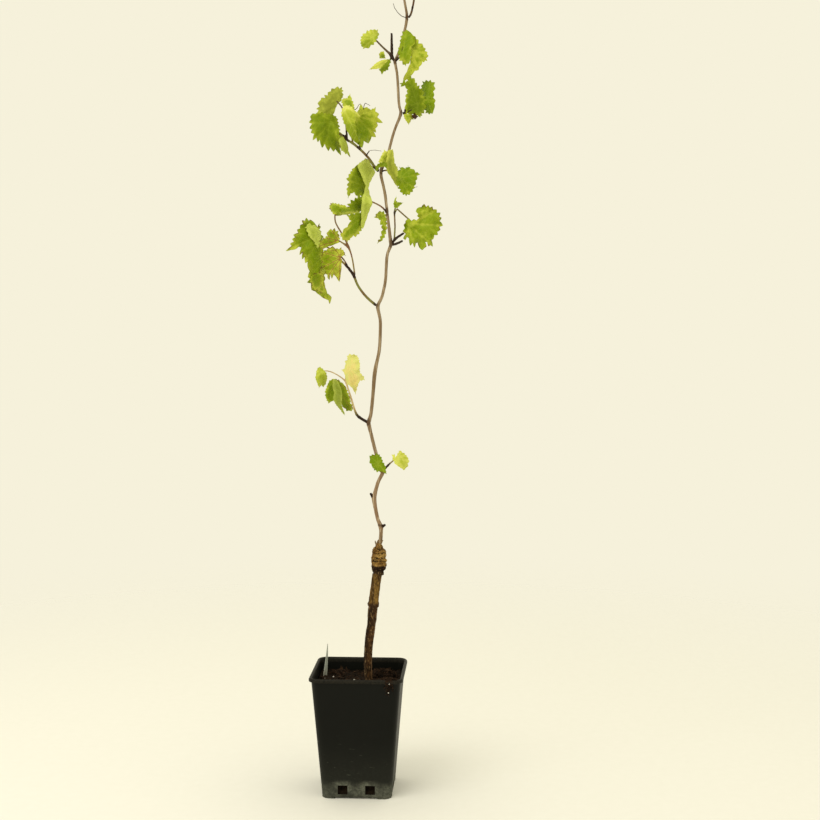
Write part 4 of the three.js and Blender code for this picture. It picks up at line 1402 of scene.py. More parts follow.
def blade(
    node, tint, corners, under=False, tones=(0, 0, 90), ahead=0, smooth_sides=(), base=None, rust=0,
    scorch=0.5, puff=1.1, wave=1.0, roll=0, tooth=1.0, slope=1.0, lean=0, over=None, margin=1.0,
):
    """Drafts one blade and puts it into the spray of its tint."""
    low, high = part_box(node)
    middle = (low + high) / 2 / MM
    centre = np.array([middle.x, middle.z])
    corners = np.array(corners, float) + centre
    if not turns_left(corners):
        corners = corners[::-1]
        smooth_sides = [len(corners) - 2 - i for i in smooth_sides]
    loop = toothed(corners, smooth_sides, tooth)
    seat = seat_of(node)
    start = vein_start(seat[[0, 2]] if base is None else centre + base, loop)
    tips = vein_tips(corners, start, loop)
    flat, faces = strewn(loop, start, tips)
    edge = from_margin(flat, loop)
    ran, away = from_veins(flat, start, tips)
    seed = int(leaf_dice.integers(1e6))
    # how deep it lies: the bowl through the stalk's end, and the relief on it
    x, z = flat[:, 0], flat[:, 1]
    bowl = bowl_through(node)
    at_seat = bowl(np.array([seat[0]]), np.array([seat[2]]))[0]
    depth = seat[1] + (bowl(x, z) - at_seat) * slope + lean * (x - seat[0])
    depth += (1 if under else -1) * relief(flat, edge, away, seed, puff, wave, roll) - ahead
    if over or (over is None and not under):
        depth = clear_of_stalk(x, z, depth, seat)
    places = spread_behind(x, z, depth, seat)
    if under:
        faces = [face[::-1] for face in faces]
    # the tone goes from one side of the blade to the other
    heading = math.radians(tones[2])
    way = places @ (math.cos(heading), 0, math.sin(heading))
    share = (way - way.min()) / np.ptp(way)
    sprays[tint].append(
        {
            "places": places,
            "faces": faces,
            "vein": np.column_stack([ran, away]) / 10,
            "edge": edge / 10,
            "pale": margin * (1 - step(edge, 0, min(12, 0.75 * edge.max()))),
            "tone": tones[0] + (tones[1] - tones[0]) * share,
            "rust": np.full(len(flat), float(rust)),
            "scorch": float(scorch) * step(ripple(flat, 12, seed + 3), -0.6, 0.9),
        }
    )


print("blades are drafted from the corners of their lobes")

# %% [markdown]
# ### The blades, from the lowest up
# The corners are in mm across and up from the middle of the leaf's box in the frame, as seen from
# the front.
# - `under` marks a blade that shows its underside.
# - `tones` runs from -1, deep green, over 0 to 1, yellow-green, from one side of the blade to the
#   other in the direction given in degrees.
# - `margin` is how pale its margin is, `rust` how red its veins are and `scorch` how brown its teeth.
# - `ahead` draws it forward by so many mm, and `over` says whether it passes in front of its stalk.
# - `slope` flattens the bowl, `lean` tips the blade sideways, `roll` curls it.
# - `base` is where its veins meet, if that isn't at the end of the stalk.
# - `tooth` is the size of its teeth, and `smooth_sides` are those sides between corners that have
#   none, such as a fold.
# - `wave` and `puff` are how much it waves and how far it swells up between the veins.

# %% Leaves low on the cane
blade(
    "leaf_c_small", "green",
    [(-14, 14), (-10, 16), (-3, 19), (3, 16), (6, 12), (8, 7), (10, 0), (13, -5), (12, -9),
     (14, -16), (10, -13), (7, -12), (4, -13), (-2, -13), (-7, -10), (-9, -5), (-11, 1), (-14, 2),
     (-13, 8)],
    tones=(-0.4, -1.4, 90), scorch=0.8, over=True, ahead=2, tooth=0.9, margin=0.2,
)
blade(
    "leaf_c_lime", "lime",
    [(-13, 1), (-15, 9), (-10, 10), (-8, 4), (-5, 11), (-3, 15), (0, 15), (6, 11), (9, 8), (12, 3),
     (14, -2), (11, -6), (12, -10), (8, -13), (5, -17), (2, -14), (-2, -11), (-6, -8), (-10, -5)],
    tones=(0.5, 0.7, 90), tooth=0.8, margin=0.3,
)
blade(
    "leaf_d_yellow", "yellow",
    [(-18, -10), (-18, -2), (-20, 3), (-25, 7), (-19, 9), (-17, 17), (-19, 21), (-14, 23), (-16, 29),
     (-12, 33), (-4, 32), (1, 30), (5, 22), (5, 15), (6, 9), (5, 2), (12, -4), (13, -10), (5, -10),
     (2, -16), (0, -25), (-2, -33), (-5, -27), (-7, -22), (-12, -18), (-16, -16)],
    tones=(-0.5, 0.8, 75), scorch=0.35, wave=1.5, tooth=0.6,
)
blade(
    "leaf_d_oval", "lime",
    [(6, 12), (3, 15), (-2, 18), (-6, 16), (-9, 10), (-9, 4), (-11, 0), (-9, -5), (-7, -12), (-5, -18),
     (-1, -12), (2, -16), (6, -11), (8, -5), (9, 2), (9, 8)],
    tones=(-0.1, 0.1, 90), tooth=0.35, wave=0.6, margin=0.2,
)
blade(
    "leaf_d_folded", "dark",
    [(-9, 29), (-15, 26), (-17, 19), (-22, 8), (-20, 0), (-19, -6), (-16, -11), (-12, -8), (-7, -6),
     (-5, 1), (-5, 19)],
    tones=(-0.5, -0.1, 180), base=(-8, 24), ahead=-2, tooth=0.7, smooth_sides=range(8, 11),
)
blade(
    "leaf_d_folded", "dark",
    [(-9, 29), (-3, 29), (1, 28), (4, 24), (8, 23), (11, 20), (15, 16), (17, 11), (17, 3), (19, -5),
     (22, -15), (24, -20), (22, -23), (17, -22), (13, -23), (9, -18), (5, -11), (2, 6), (-2, 22)],
    tones=(-0.7, 0.2, 20), base=(-7, 25), ahead=-3, scorch=1, rust=0.5, tooth=0.8,
    smooth_sides=range(15, 19),
)
blade(
    "leaf_d_folded", "dark",
    [(-9, 29), (-2, 27), (3, 19), (6, 13), (6, 0), (5, -9), (8, -22), (11, -30), (5, -24), (1, -18),
     (-3, -14), (-7, -7), (-8, -1), (-6, 6), (-9, 19)],
    under=True, tones=(-0.4, -0.1, 90), base=(-7, 25), ahead=4, tooth=0.4, wave=0.6,
    smooth_sides=(*range(5), *range(11, 15)),
)
print("blades so far:", sum(len(spray) for spray in sprays.values()))

# %% Leaves at the middle left
blade(
    "leaf_g_long", "green",
    [(22, 44), (19, 57), (16, 51), (13, 55), (9, 60), (4, 63), (2, 61), (-2, 66), (-4, 61),
     (-9, 62), (-7, 56), (-12, 54), (-12, 49), (-17, 47), (-15, 42), (-23, 39), (-20, 35),
     (-25, 32), (-22, 28), (-28, 25), (-26, 21), (-35, 13), (-27, 15), (-20, 16), (-14, 20),
     (-10, 19), (-13, 7), (-8, 11), (-9, 0), (-5, 4), (-4, -6), (0, -4), (0, -13), (3, -19),
     (0, -28), (4, -31), (-1, -37), (5, -38), (6, -49), (12, -51), (19, -57), (28, -63), (33, -65),
     (35, -71), (37, -65), (38, -60), (31, -54), (28, -45), (26, -35), (26, -25), (31, -18),
     (33, 0), (24, 11), (25, 29)],
    tones=(0.2, -0.3, 60), scorch=1, wave=1.8, base=(18, 40), tooth=0.9, margin=0.8,
    smooth_sides=(*range(2, 38), *range(39, 48)),
)
blade(
    "leaf_g_long", "green",
    [(22, -9), (19, -21), (7, -23), (3, -31), (7, -45), (21, -54), (25, -53), (26, -38), (25, -23)],
    tones=(0.9, -0.8, 110), rust=0.6, scorch=1, ahead=4, wave=2.4, tooth=0.6, base=(21, -12),
    smooth_sides=range(5, 9),
)
blade(
    "leaf_g_long", "green",
    [(-5, 51), (-1, 55), (3, 58), (11, 55), (21, 43), (19, 33), (15, 25), (15, 16), (11, 20), (8, 28),
     (6, 31), (3, 34), (0, 38), (1, 42), (-2, 45)],
    under=True, tones=(0.4, 0.8, 90), base=(20, 41), ahead=7, tooth=0.8, smooth_sides=(3, 4), wave=0.6,
)
blade(
    "leaf_g_upper", "green",
    [(17, -6), (16, 5), (15, 12), (9, 16), (5, 12), (3, 15), (-2, 10), (-4, 8), (-2, 3), (-9, 1),
     (-17, -4), (-16, -13), (-13, -18), (-1, -13), (9, -9)],
    tones=(-0.3, 0.2, 60), rust=1, base=(14, -3), scorch=0.7, smooth_sides=range(12, 15),
)
blade(
    "leaf_g_tan", "green",
    [(12, 13), (23, 12), (19, 19), (15, 26), (11, 23), (5, 24), (1, 28), (-4, 24), (-9, 21),
     (-17, 19), (-18, 13), (-16, 4), (-14, -6), (-11, -15), (-7, -22), (-4, -26), (-3, -20),
     (-2, -16), (0, -24), (3, -17), (7, -21), (12, -29), (14, -15), (15, 0), (16, 7)],
    tones=(-0.7, 1.4, 0), base=(13, 10), rust=1, scorch=0.9, ahead=6, wave=2,
    smooth_sides=range(14, 23),
)
blade(
    "leaf_n_rolled", "green",
    [(-22, 11), (-24, 7), (-25, 3), (-22, -2), (-14, -9), (-1, -8), (11, -7), (27, -4), (22, 1), (9, 5),
     (-1, 7), (-13, 11), (-18, 12)],
    tones=(0.2, -0.1, 180), roll=5, smooth_sides=range(4, 7), base=(-18, -4), tooth=0.7,
    lean=-0.75, scorch=0.9,
)
blade(
    "leaf_m_hanging", "green",
    [(14, 66), (20, 63), (23, 56), (30, 44), (25, 35), (21, 27), (19, 19), (21, 9), (26, -5),
     (22, -12), (18, -22), (14, -34), (10, -45), (7, -42), (8, -30), (8, -22), (10, -4), (13, 11),
     (15, 23), (10, 35), (7, 42), (4, 48), (2, 56), (9, 62)],
    under=True, tones=(0.5, 0.3, 90), base=(24, -6), ahead=3, puff=0.6, wave=0.7, over=True,
    tooth=0.6, smooth_sides=range(22),
)
blade(
    "leaf_m_hanging", "dark",
    [(9, 56), (2, 56), (-3, 51), (-7, 49), (-9, 42), (-16, 34), (-11, 29), (-15, 24), (-14, 15),
     (-13, 3), (-9, 11), (-3, 13), (0, 7), (3, 4), (11, 3), (15, 11), (15, 23), (11, 35)],
    tones=(-0.9, 0.3, 170), base=(13, 22), ahead=-5, smooth_sides=range(14, 18), puff=1.6,
)
blade(
    "leaf_m_hanging", "dark",
    [(11, 7), (-1, 4), (-9, 1), (-15, -6), (-10, -10), (-9, -15), (3, -18), (13, -14), (14, -4)],
    tones=(-1, -0.4, 180), base=(12, -4), ahead=-12, smooth_sides=range(6, 9),
)
blade(
    "leaf_m_hanging", "green",
    [(13, -14), (7, -20), (-3, -22), (-16, -22), (-12, -27), (-8, -32), (-12, -37), (-14, -42),
     (-20, -45), (-22, -51), (-29, -58), (-22, -63), (-14, -66), (-10, -60), (-5, -55), (-1, -58),
     (1, -54), (5, -53), (8, -45), (13, -34)],
    tones=(-1.0, 0.7, 232), base=(11, -24), ahead=-2, smooth_sides=(18, 19), puff=1.6,
)
print("blades so far:", sum(len(spray) for spray in sprays.values()))

# %% Leaves at the middle right
blade(
    "leaf_h_sprout", "dark",
    [(-6, -12), (-7, -6), (-5, -1), (-2, 7), (-2, -2), (-3, -10)],
    tones=(-0.3, 0.2, 90), wave=0.3, puff=0.4, tooth=0.4,
)
blade(
    "leaf_h_sprout", "dark",
    [(-6, -9), (-2, -3), (3, -4), (9, -4), (4, -8), (0, -13), (-5, -13)],
    tones=(-0.6, 0, 0), wave=0.3, puff=0.4, ahead=1, tooth=0.4,
)
blade(
    "leaf_h_right", "green",
    [(-27, 9), (-21, 13), (-18, 9), (-14, 12), (-10, 10), (-5, 14), (-9, 17), (-7, 20), (-11, 24),
     (-9, 29), (-5, 31), (-2, 31), (2, 36), (5, 31), (9, 34), (11, 30), (15, 32), (16, 27), (22, 27),
     (22, 22), (28, 22), (26, 16), (30, 14), (27, 9), (32, 2), (26, 0), (28, -5), (23, -8), (24, -13),
     (18, -13), (17, -19), (14, -21), (16, -31), (12, -29), (9, -31), (7, -24), (4, -24), (6, -31),
     (2, -34), (-1, -37), (-6, -32), (-8, -25), (-11, -26), (-13, -33), (-16, -25), (-20, -30),
     (-22, -18), (-25, -16), (-28, -21), (-31, -18), (-27, -11), (-32, -7), (-28, -2), (-30, 3)],
    tones=(0.3, 0.5, 60), base=(-22, 4), puff=2.8, wave=2.6, tooth=0.7, scorch=0.7, margin=0.1,
    smooth_sides=range(54),
)
blade(
    "leaf_h_back", "green",
    [(2, 26), (-4, 26), (-8, 22), (-14, 16), (-7, 14), (-3, 11), (-4, 4), (0, 4), (1, -4), (-1, -13),
     (-9, -26), (0, -21), (6, -10), (8, 6), (7, 20)],
    tones=(0.1, 0.3, 90), scorch=0.9, tooth=1.1, over=False, rust=0.3, margin=0.6,
)
blade(
    "leaf_k_front", "lime",
    [(-8, 34), (-3, 30), (-1, 20), (-3, 10), (-8, 12), (-15, 12), (-18, 14), (-14, 20), (-11, 28)],
    tones=(-0.1, -0.4, 90), tooth=0.5, ahead=2, base=(-4, 12), smooth_sides=(1, 2),
)
blade(
    "leaf_k_front", "lime",
    [(-3, 32), (5, 34), (7, 22), (8, 12), (13, 6), (14, -2), (13, -9), (14, -19), (13, -27), (10, -22),
     (6, -15), (2, -8), (-2, -4), (-4, 6), (-4, 20)],
    under=True, tones=(-0.5, 0, 90), base=(-3, 10), puff=0.6, wave=0.6, tooth=0.5, ahead=5, over=True,
    smooth_sides=(1, 2, *range(9, 14)),
)
blade(
    "leaf_k_front", "dark",
    [(-23, 1), (-22, 7), (-18, 11), (-14, 13), (-9, 14), (-3, 12), (-1, 7), (-3, 2), (-6, 5),
     (-9, 6), (-13, 6), (-16, 5), (-17, 1), (-20, -1)],
    tones=(-0.9, -0.6, 90), base=(-4, 8), ahead=9, tooth=0.6, wave=1.4,
)
blade(
    "leaf_p_round", "green",
    [(-19, 15), (-15, 23), (-10, 22), (-5, 19), (-1, 25), (3, 19), (9, 18), (11, 13), (19, 11),
     (13, 8), (14, 3), (12, -5), (10, -11), (7, -17), (2, -22), (-4, -24), (-9, -22), (-14, -17),
     (-19, -6), (-19, 4), (-20, 10)],
    tones=(-0.3, -1.2, 110), base=(-13, 3), smooth_sides=(18, 19), ahead=-1, margin=0.7,
)
print("blades so far:", sum(len(spray) for spray in sprays.values()))

# %% Leaves at the upper left
blade(
    "leaf_i_dark", "dark",
    [(-12, 32), (-20, 30), (-24, 25), (-22, 21), (-26, 16), (-21, 14), (-25, 7), (-21, 5),
     (-23, 0), (-18, -2), (-20, -12), (-14, -8), (-12, -15), (-9, -11), (-5, -24), (-1, -18),
     (5, -29), (8, -23), (13, -30), (16, -26), (25, -36), (23, -25), (24, -14), (22, -3), (25, 3),
     (22, 15), (18, 25), (12, 29), (1, 31)],
    tones=(-0.5, -0.4, 90), base=(14, 14), scorch=0.5, wave=1.3, tooth=0.8,
    smooth_sides=range(1, 21),
)
blade(
    "leaf_i_tail", "green",
    [(-8, 21), (-3, 17), (2, 10), (6, -1), (6, -9), (9, -19), (4, -13), (1, -14), (-2, -9),
     (-5, -9), (-7, 0), (-9, 10)],
    under=True, tones=(-0.7, -0.2, 90), base=(-5, 18), scorch=0.8, tooth=0.5, wave=0.6,
    smooth_sides=range(6),
)
blade(
    "leaf_i_lime", "green",
    [(-15, 17), (-10, 19), (-4, 18), (0, 26), (3, 18), (8, 3), (6, 0), (3, -7), (-5, -7), (-10, 2)],
    tones=(-0.3, 0.2, 90), base=(-12, 16), tooth=0.7, wave=0.8,
)
blade(
    "leaf_i_lime", "lime",
    [(-11, 6), (-5, 7), (0, 7), (5, 3), (9, -3), (17, -11), (10, -14), (9, -20), (9, -28), (10, -38),
     (14, -48), (18, -57), (10, -52), (3, -45), (-3, -36), (-7, -27), (-11, -16), (-14, -5)],
    tones=(-2.6, 1.1, 90), base=(-9, 4), ahead=14, tooth=0.8, wave=1, margin=0.4,
    smooth_sides=(4, 5, *range(7, 15)),
)
blade(
    "leaf_i_tip", "lime",
    [(17, 0), (19, 7), (21, 14), (19, 20), (12, 21), (2, 18), (-4, 12), (-15, 0), (-20, -5), (-22, -14),
     (-17, -25), (-1, -26), (6, -21), (8, -12), (10, -6), (13, -2)],
    under=True, tones=(-0.7, -0.1, 130), base=(15, 1), slope=0.45, margin=0.3,
    smooth_sides=range(11, 16),
)
blade(
    "leaf_i_right", "green",
    [(-18, 12), (-12, 22), (-9, 27), (-6, 36), (-2, 29), (4, 31), (10, 26), (17, 31), (17, 24),
     (23, 20), (20, 15), (29, 6), (19, 7), (21, 2), (17, -3), (18, -9), (14, -7), (18, -16), (11, -15),
     (6, -26), (-1, -22), (-4, -33), (-9, -28), (-16, -22), (-21, -15), (-22, -2)],
    tones=(-1.1, 1.3, 55), base=(-14, 18), scorch=0.5, wave=1.6, tooth=0.8,
    smooth_sides=(2, 3, *range(7, 22)),
)
print("blades so far:", sum(len(spray) for spray in sprays.values()))

# %% Leaves at the upper right
blade(
    "leaf_j_dark", "dark",
    [(-14, 10), (-18, 16), (-25, 14), (-27, 19), (-22, 20), (-20, 26), (-17, 20), (-13, 23), (-14, 31),
     (-11, 29), (-9, 31), (-8, 27), (-3, 27), (-2, 20), (5, 16), (9, 7), (14, -1), (17, -6), (16, -16),
     (12, -27), (9, -31), (6, -34), (1, -30), (-3, -34), (-11, -31), (-17, -28), (-16, -22), (-19, -19),
     (-16, -12), (-18, -8), (-16, -3), (-18, 0), (-14, 4)],
    tones=(-1.3, -1.1, 0), puff=2.2, wave=1.5, ahead=6, tooth=1.2, margin=1.8,
)
blade(
    "leaf_j_right", "green",
    [(-12, 18), (-10, 25), (-4, 27), (3, 27), (10, 23), (8, 18), (11, 13), (7, 9), (9, 4), (7, 0),
     (11, -5), (9, -9), (10, -14), (8, -20), (6, -26), (1, -27), (-5, -25), (-8, -19), (-10, -6),
     (-12, 6)],
    tones=(-1.5, -0.1, 0), puff=1.4, margin=0.4, ahead=-2,
)
blade(
    "leaf_j_low", "green",
    [(-7, 10), (2, 10), (11, 8), (8, 1), (6, 3), (4, -2), (1, -7), (-2, -2), (-6, 3)],
    tones=(0.1, 0.6, 270), wave=0.5, tooth=0.2,
)
blade(
    "leaf_j_low", "dark",
    [(6, 6), (8, 8), (11, 12), (13, 8), (16, 6), (14, 4), (11, 1), (8, 3)],
    tones=(-1, -1, 90), rust=12, wave=0.5, tooth=0.6, ahead=14,
)
blade(
    "leaf_k_right", "green",
    [(-13, 36), (-20, 33), (-23, 25), (-22, 16), (-27, 1), (-24, -5), (-25, -12), (-19, -18),
     (-14, -21), (-9, -17), (-5, -4), (-4, 6), (1, 13), (-1, 25)],
    tones=(0, -0.6, 90), base=(-20, -14), ahead=3, margin=0.7, tooth=0.9,
    smooth_sides=range(9, 14),
)
blade(
    "leaf_k_right", "green",
    [(-6, 32), (2, 21), (12, 14), (14, 8), (20, 1), (22, -5), (18, -9), (20, -13), (12, -14),
     (11, -18), (7, -22), (6, -27), (0, -28), (-5, -35), (-17, -44), (-18, -40), (-12, -29),
     (-7, -17), (-5, -7), (-7, 4), (-10, 10), (-8, 23)],
    tones=(0.3, 0.9, 270), base=(-6, 0), ahead=-3, margin=0.5, smooth_sides=range(12, 22),
)
blade(
    "leaf_k_tip", "lime",
    [(13, 1), (15, 8), (13, 16), (5, 14), (-4, 14), (-11, 8), (-15, -2), (-13, -9), (-11, -16),
     (-6, -14), (-1, -15), (7, -9)],
    tones=(-0.8, -0.1, 120), tooth=0.9, margin=0.4,
)
blade(
    "leaf_k_bud", "green",
    [(-5, -1), (-2, 2), (3, 3), (4, -2), (6, -8), (1, -8), (-4, -8)],
    tones=(-0.1, 0.3, 90), wave=0.4, tooth=0.5,
)
blade(
    "leaf_k_low", "dark",
    [(16, 12), (17, 6), (15, 1), (12, -5), (5, -7), (2, -12), (0, -7), (-3, -4), (3, 0), (9, 7),
     (11, 11)],
    tones=(-0.7, -0.2, 230), base=(13, 9), ahead=-1.5, tooth=0.7,
)
blade(
    "leaf_k_low", "lime",
    [(-18, -4), (-13, 1), (-6, 7), (2, 10), (12, 11), (11, 7), (5, 0), (-1, -3), (-9, -3)],
    under=True, tones=(0.7, 1.2, 180), base=(10, 9), ahead=1, tooth=0.2, wave=0.6,
    smooth_sides=(4, 5),
)
print("blades so far:", sum(len(spray) for spray in sprays.values()))

# %% [markdown]
# ### The top of the vine
# The five leaves at the top are finished like those below: the outline of a lower leaf that hangs
# the same way is fitted to the new leaf's own box, mirrored where it points the other way.

# %% Leaves at the top
ROUND_LEAF = [
    (-14, 11), (-16, 17), (-13, 23), (-1, 23), (9, 17), (17, 11), (12, -2), (5, -21), (-6, -22),
    (-16, -15), (-15, -2),
]
BROAD_LEAF = [
    (-20, 18), (-17, 24), (-7, 30), (5, 32), (20, 30), (25, 18), (19, -1), (19, -11), (4, -24),
    (-14, -29), (-25, -34), (-23, -11), (-23, 6),
]
LOBED_LEAF = [
    (-26, 7), (-22, 14), (-6, 14), (-10, 23), (-9, 30), (3, 34), (17, 28), (28, 19), (25, 11),
    (32, 3), (28, -6), (15, -19), (17, -30), (7, -29), (-1, -35), (-12, -24), (-20, -29), (-30, -5),
]
YOUNG_LEAF = [(12, -1), (16, 11), (12, 15), (-4, 14), (-11, 8), (-16, -4), (-12, -16), (-1, -16)]
TOP_LEAVES = [  # node, tint, outline, whether it is mirrored, tones and wave
    ("leaf_l_tip", "green", ROUND_LEAF, False, (0.1, -0.2, 90), 1),
    ("leaf_m_left", "green", BROAD_LEAF, True, (-0.3, 0.2, 60), 1.3),
    ("leaf_m_back", "dark", LOBED_LEAF, False, (-0.3, 0.3, 90), 1.3),
    ("leaf_n_left", "lime", YOUNG_LEAF, False, (0.3, 0.8, 90), 1),
    ("leaf_tip", "lime", YOUNG_LEAF, True, (0.6, 1, 90), 0.6),
]


def fitted(node, outline, flip):
    """The outline, sized and shifted so that it fills the leaf's own box."""
    low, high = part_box(node)
    shape = np.array(outline, float) * ((-1, 1) if flip else (1, 1))
    size = np.array([high.x - low.x, high.z - low.z]) / MM / np.ptp(shape, axis=0)
    return (shape - (shape.min(axis=0) + shape.max(axis=0)) / 2) * size


for node, tint, outline, flip, tones, wave in TOP_LEAVES:
    blade(node, tint, fitted(node, outline, flip), tones=tones, wave=wave)
print("blades in all:", sum(len(spray) for spray in sprays.values()))

# %% [markdown]
# ### Leaf colours
# The top of a leaf is a little glossy, with pale sunken veins. The underside is paler and dull, and
# there the veins stand proud. The side veins leave the main ones at a slant, so they are drawn from
# how far along and away from the main vein a point is. A fine net lies between them. Uneven patches
# of painted light and shade stand in for the lit and shaded bulges between the veins. On the top a
# painted highlight runs beside the main veins, where the folds catch the light, the margin is paler
# than the middle, and here and there a tooth has gone brown.

# %% Leaf paint
SIDE_VEIN_PITCH = 0.85  # cm along the main vein


def leaf_finish(name, deep, middle, bright, vein, underside=False):
    """Three greens for the tones below 0, at 0 and above, and the colour of the veins."""
    finish = Finish(name)
    place = finish.place()
    lines = finish.node("UVMap", {"uv_map": "veins"}, {})
    ran, away = finish.axis(lines, "X"), finish.axis(lines, "Y")
    tone, edge = finish.attribute("tone"), finish.attribute("edge")
    rust, scorch = finish.attribute("rust"), finish.attribute("scorch")
    cloud = finish.noise(place, 60, 3)
    net = finish.cell_edges(place, 620)
    main = 1 - away.between(0.02, 0.075)
    slant = ((ran - away * 0.85) / SIDE_VEIN_PITCH).fraction()
    side = (1 - abs(slant - 0.5).between(0.025, 0.1)) * (1 - away.between(0.9, 2.4))
    veins = main.greatest(side)
    # painted light and shade: uneven lighter and darker patches stand in for the bulges between the veins
    # catching the light
    bulge_light_and_shade = finish.noise(place, 150, 2)
    shade = tone + (cloud - 0.5) * 1.3 + (bulge_light_and_shade - 0.5) * 1.8 + finish.attribute("pale") * 1.1 - 0.35
    # painted highlight: on the top a light band beside the main veins stands in for the folds catching
    # the light
    if not underside:
        shade = shade + (1 - away.between(0.08, 0.32)) * 0.45
    colour = finish.mix(shade.between(-1.0, 0.1), deep, middle)
    colour = finish.mix(shade.between(0, 1), colour, bright)
    colour = finish.mix(veins * (0.35 if underside else 0.3), colour, vein)
    colour = finish.mix((1 - net.between(0.0, 0.12)) * 0.05, colour, vein)
    red = (rust * (main * 0.8 + side * 0.5 + 0.12)).between(0, 1)
    colour = finish.mix(red * 0.8, colour, srgb(140, 78, 52))
    colour = finish.mix(rust.between(3, 6), colour, srgb(62, 28, 14))
    tip = (1 - edge.between(0.05, 0.2)) * scorch.between(0.35, 0.75)
    colour = finish.mix(tip * 0.75, colour, srgb(112, 80, 38))
    height = net.between(0, 0.25) * 0.1 + (veins if underside else 1 - veins) + cloud * 0.4
    roughness = (0.66 if underside else 0.5) + veins * 0.08
    return finish.surface(colour, roughness, height, 0.0004, 0.5, Specular_IOR_Level=0.14)


# %% Join the blades into sprays
LEAF_THICKNESS = 0.00032
TOP_PAINTS = {
    "green": (srgb(114, 140, 0), srgb(136, 156, 16), srgb(184, 192, 60), srgb(168, 182, 66)),
    "dark": (srgb(106, 127, 0), srgb(124, 143, 8), srgb(168, 180, 46), srgb(150, 166, 52)),
    "lime": (srgb(138, 156, 24), srgb(180, 190, 56), srgb(218, 220, 102), srgb(204, 210, 104)),
    "yellow": (srgb(230, 206, 132), srgb(226, 210, 128), srgb(212, 212, 118), srgb(234, 222, 152)),
}
UNDERSIDE_PAINTS = {
    "green": (srgb(158, 170, 56), srgb(176, 190, 72), srgb(198, 210, 94), srgb(190, 202, 104)),
    "dark": (srgb(132, 146, 46), srgb(150, 164, 60), srgb(178, 188, 80), srgb(170, 184, 90)),
    "lime": (srgb(138, 146, 44), srgb(172, 180, 64), srgb(206, 210, 88), srgb(156, 160, 58)),
    "yellow": (srgb(230, 200, 126), srgb(234, 220, 134), srgb(236, 230, 140), srgb(242, 232, 166)),
}


def make_spray(tint, leaves):
    """The blades of one tint as one mesh, thickened, with a top and an underside."""
    top = leaf_finish(tint + "_leaf_top", *TOP_PAINTS[tint])
    below = leaf_finish(tint + "_leaf_underside", *UNDERSIDE_PAINTS[tint], underside=True)
    spray = joined("leaves_" + tint, [(leaf["places"], leaf["faces"]) for leaf in leaves], top)
    mesh = spray.data
    mesh.materials.append(below)
    for name in ("tone", "edge", "pale", "rust", "scorch"):
        keep(spray, name, np.concatenate([leaf[name] for leaf in leaves]))
    veins = np.vstack([leaf["vein"] for leaf in leaves])
    corners = np.array([corner.vertex_index for corner in mesh.loops])
    layer = mesh.uv_layers.new(name="veins")
    layer.uv.foreach_set("vector", veins[corners].astype(np.float32).ravel())
    sides = {"material_offset": 1, "material_offset_rim": 0}
    work(spray, "SOLIDIFY", thickness=LEAF_THICKNESS, offset=-1, **sides)
    smooth(spray, 55)
    return spray


LEAF_NODES = {
    "green": ["c_small", "g_long", "g_upper", "g_tan", "n_rolled", "m_hanging", "h_right", "h_back",
              "p_round", "i_tail", "i_right", "j_right", "j_low", "k_right", "k_bud", "l_tip",
              "m_left"],
    "dark": ["d_folded", "h_sprout", "i_dark", "j_dark", "k_low", "m_back"],
    "lime": ["c_lime", "d_oval", "k_front", "i_lime", "i_tip", "k_tip", "n_left", "tip"],
    "yellow": ["d_yellow"],
}
for tint, leaves in sprays.items():
    spray = make_spray(tint, leaves)
    stand_in(spray, "leaf_" + tint, *["leaf_" + name for name in LEAF_NODES[tint]])
covered = sum(len(names) for names in LEAF_NODES.values())
plain_leaves = [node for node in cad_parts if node.startswith("leaf_")]
print("leaf nodes covered:", covered, "of", len(plain_leaves))

# %% [markdown]
# ## Tendrils and dead threads
# A vine holds on by tendrils, thin curling shoots opposite a leaf. Those here are short and dry, and
# some are only black ends. Each is a bare line of points with a thickness at either end. A Skin
# modifier puts a tapering skin round this short chain of edges, and a subdivision rounds it.

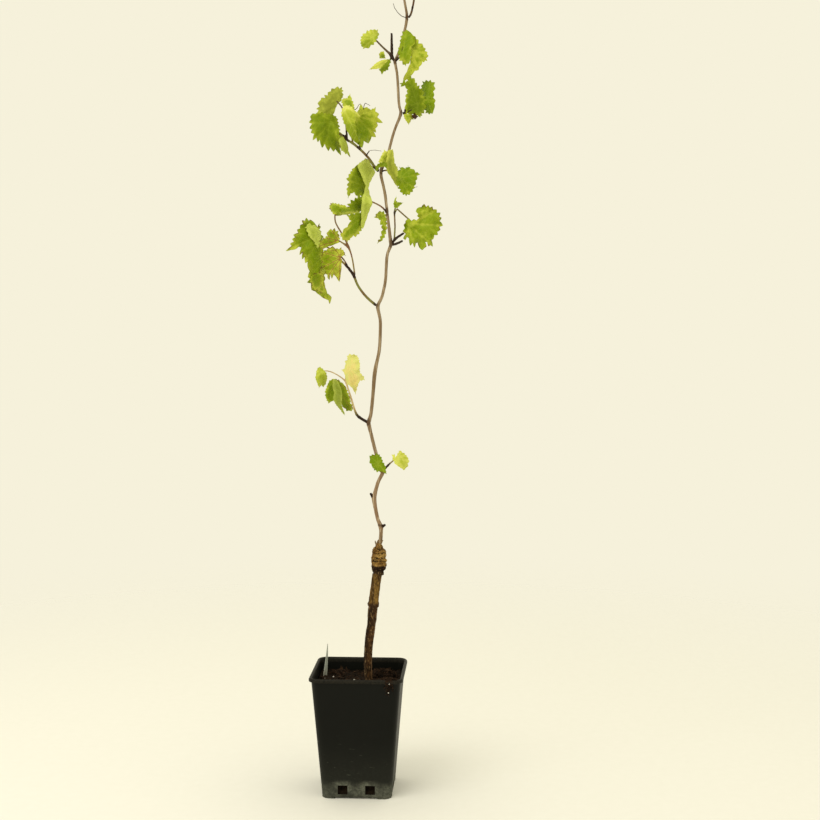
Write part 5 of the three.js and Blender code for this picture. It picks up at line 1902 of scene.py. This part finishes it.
# %% Grow the tendrils
TENDRILS = [  # places in mm and the half thickness at the start and at the end
    ([(-7, -20, 1095), (-2, -19, 1092), (1, -17, 1095), (3, -15, 1100), (6, -13, 1102)], 0.7, 0.35),
    ([(10, -10, 1093), (11, -11, 1099), (13, -12, 1103), (17, -12, 1101), (21, -11, 1099)], 0.6, 0.35),
    ([(14, -13, 1020), (17, -14, 1025), (20, -14, 1029)], 1.3, 0.8),
    ([(20, -14, 1029), (28, -16, 1029.5), (39, -15, 1028)], 0.4, 0.3),
    ([(78, 1, 1236), (70, -3, 1238), (64, -6, 1243), (59, -8, 1250), (57, -9, 1257)], 0.7, 0.4),
    ([(86, -4, 969), (91, -6, 972), (95, -6, 973)], 0.4, 0.3),
    ([(74, 5, 1089), (80, 3, 1091), (86, 1, 1094)], 1.3, 0.8),
    ([(66, -9, 1173), (70, -10, 1180), (72, -11, 1190)], 0.6, 0.4),
]


def grow_tendril(route, thick, thin):
    mesh = bpy.data.meshes.new("tendril")
    mesh.from_pydata(route, [(i, i + 1) for i in range(len(route) - 1)], [])
    tendril = bpy.data.objects.new("tendril", mesh)
    bpy.context.scene.collection.objects.link(tendril)
    take(tendril)
    tendril.modifiers.new("skin", "SKIN")
    for i, point in enumerate(mesh.skin_vertices[0].data):
        point.radius = [thick + (thin - thick) * i / (len(route) - 1)] * 2
        point.use_root = i == 0
    bpy.ops.object.modifier_apply(modifier="skin")
    work(tendril, "SUBSURF", levels=1, render_levels=1)
    return tendril


grown = [grow_tendril(*row) for row in TENDRILS]
take(*grown)
bpy.ops.object.join()
tendrils = bpy.context.view_layer.objects.active
tendrils.name = "tendrils_and_threads"
move_to(tendrils, places_of(tendrils) * MM)
smooth(tendrils)


def dry_thread():
    finish = Finish("dry_dark_tendril")
    cloud = finish.noise(finish.place(), 220, 3)
    colour = finish.mix(cloud.between(0.35, 0.65), srgb(34, 22, 15), srgb(74, 54, 38))
    return finish.surface(colour, 0.7, cloud, 0.0002, 0.5, Specular_IOR_Level=0.2)


tendrils.data.materials.append(dry_thread())
stand_in(tendrils, "shoot_bark")
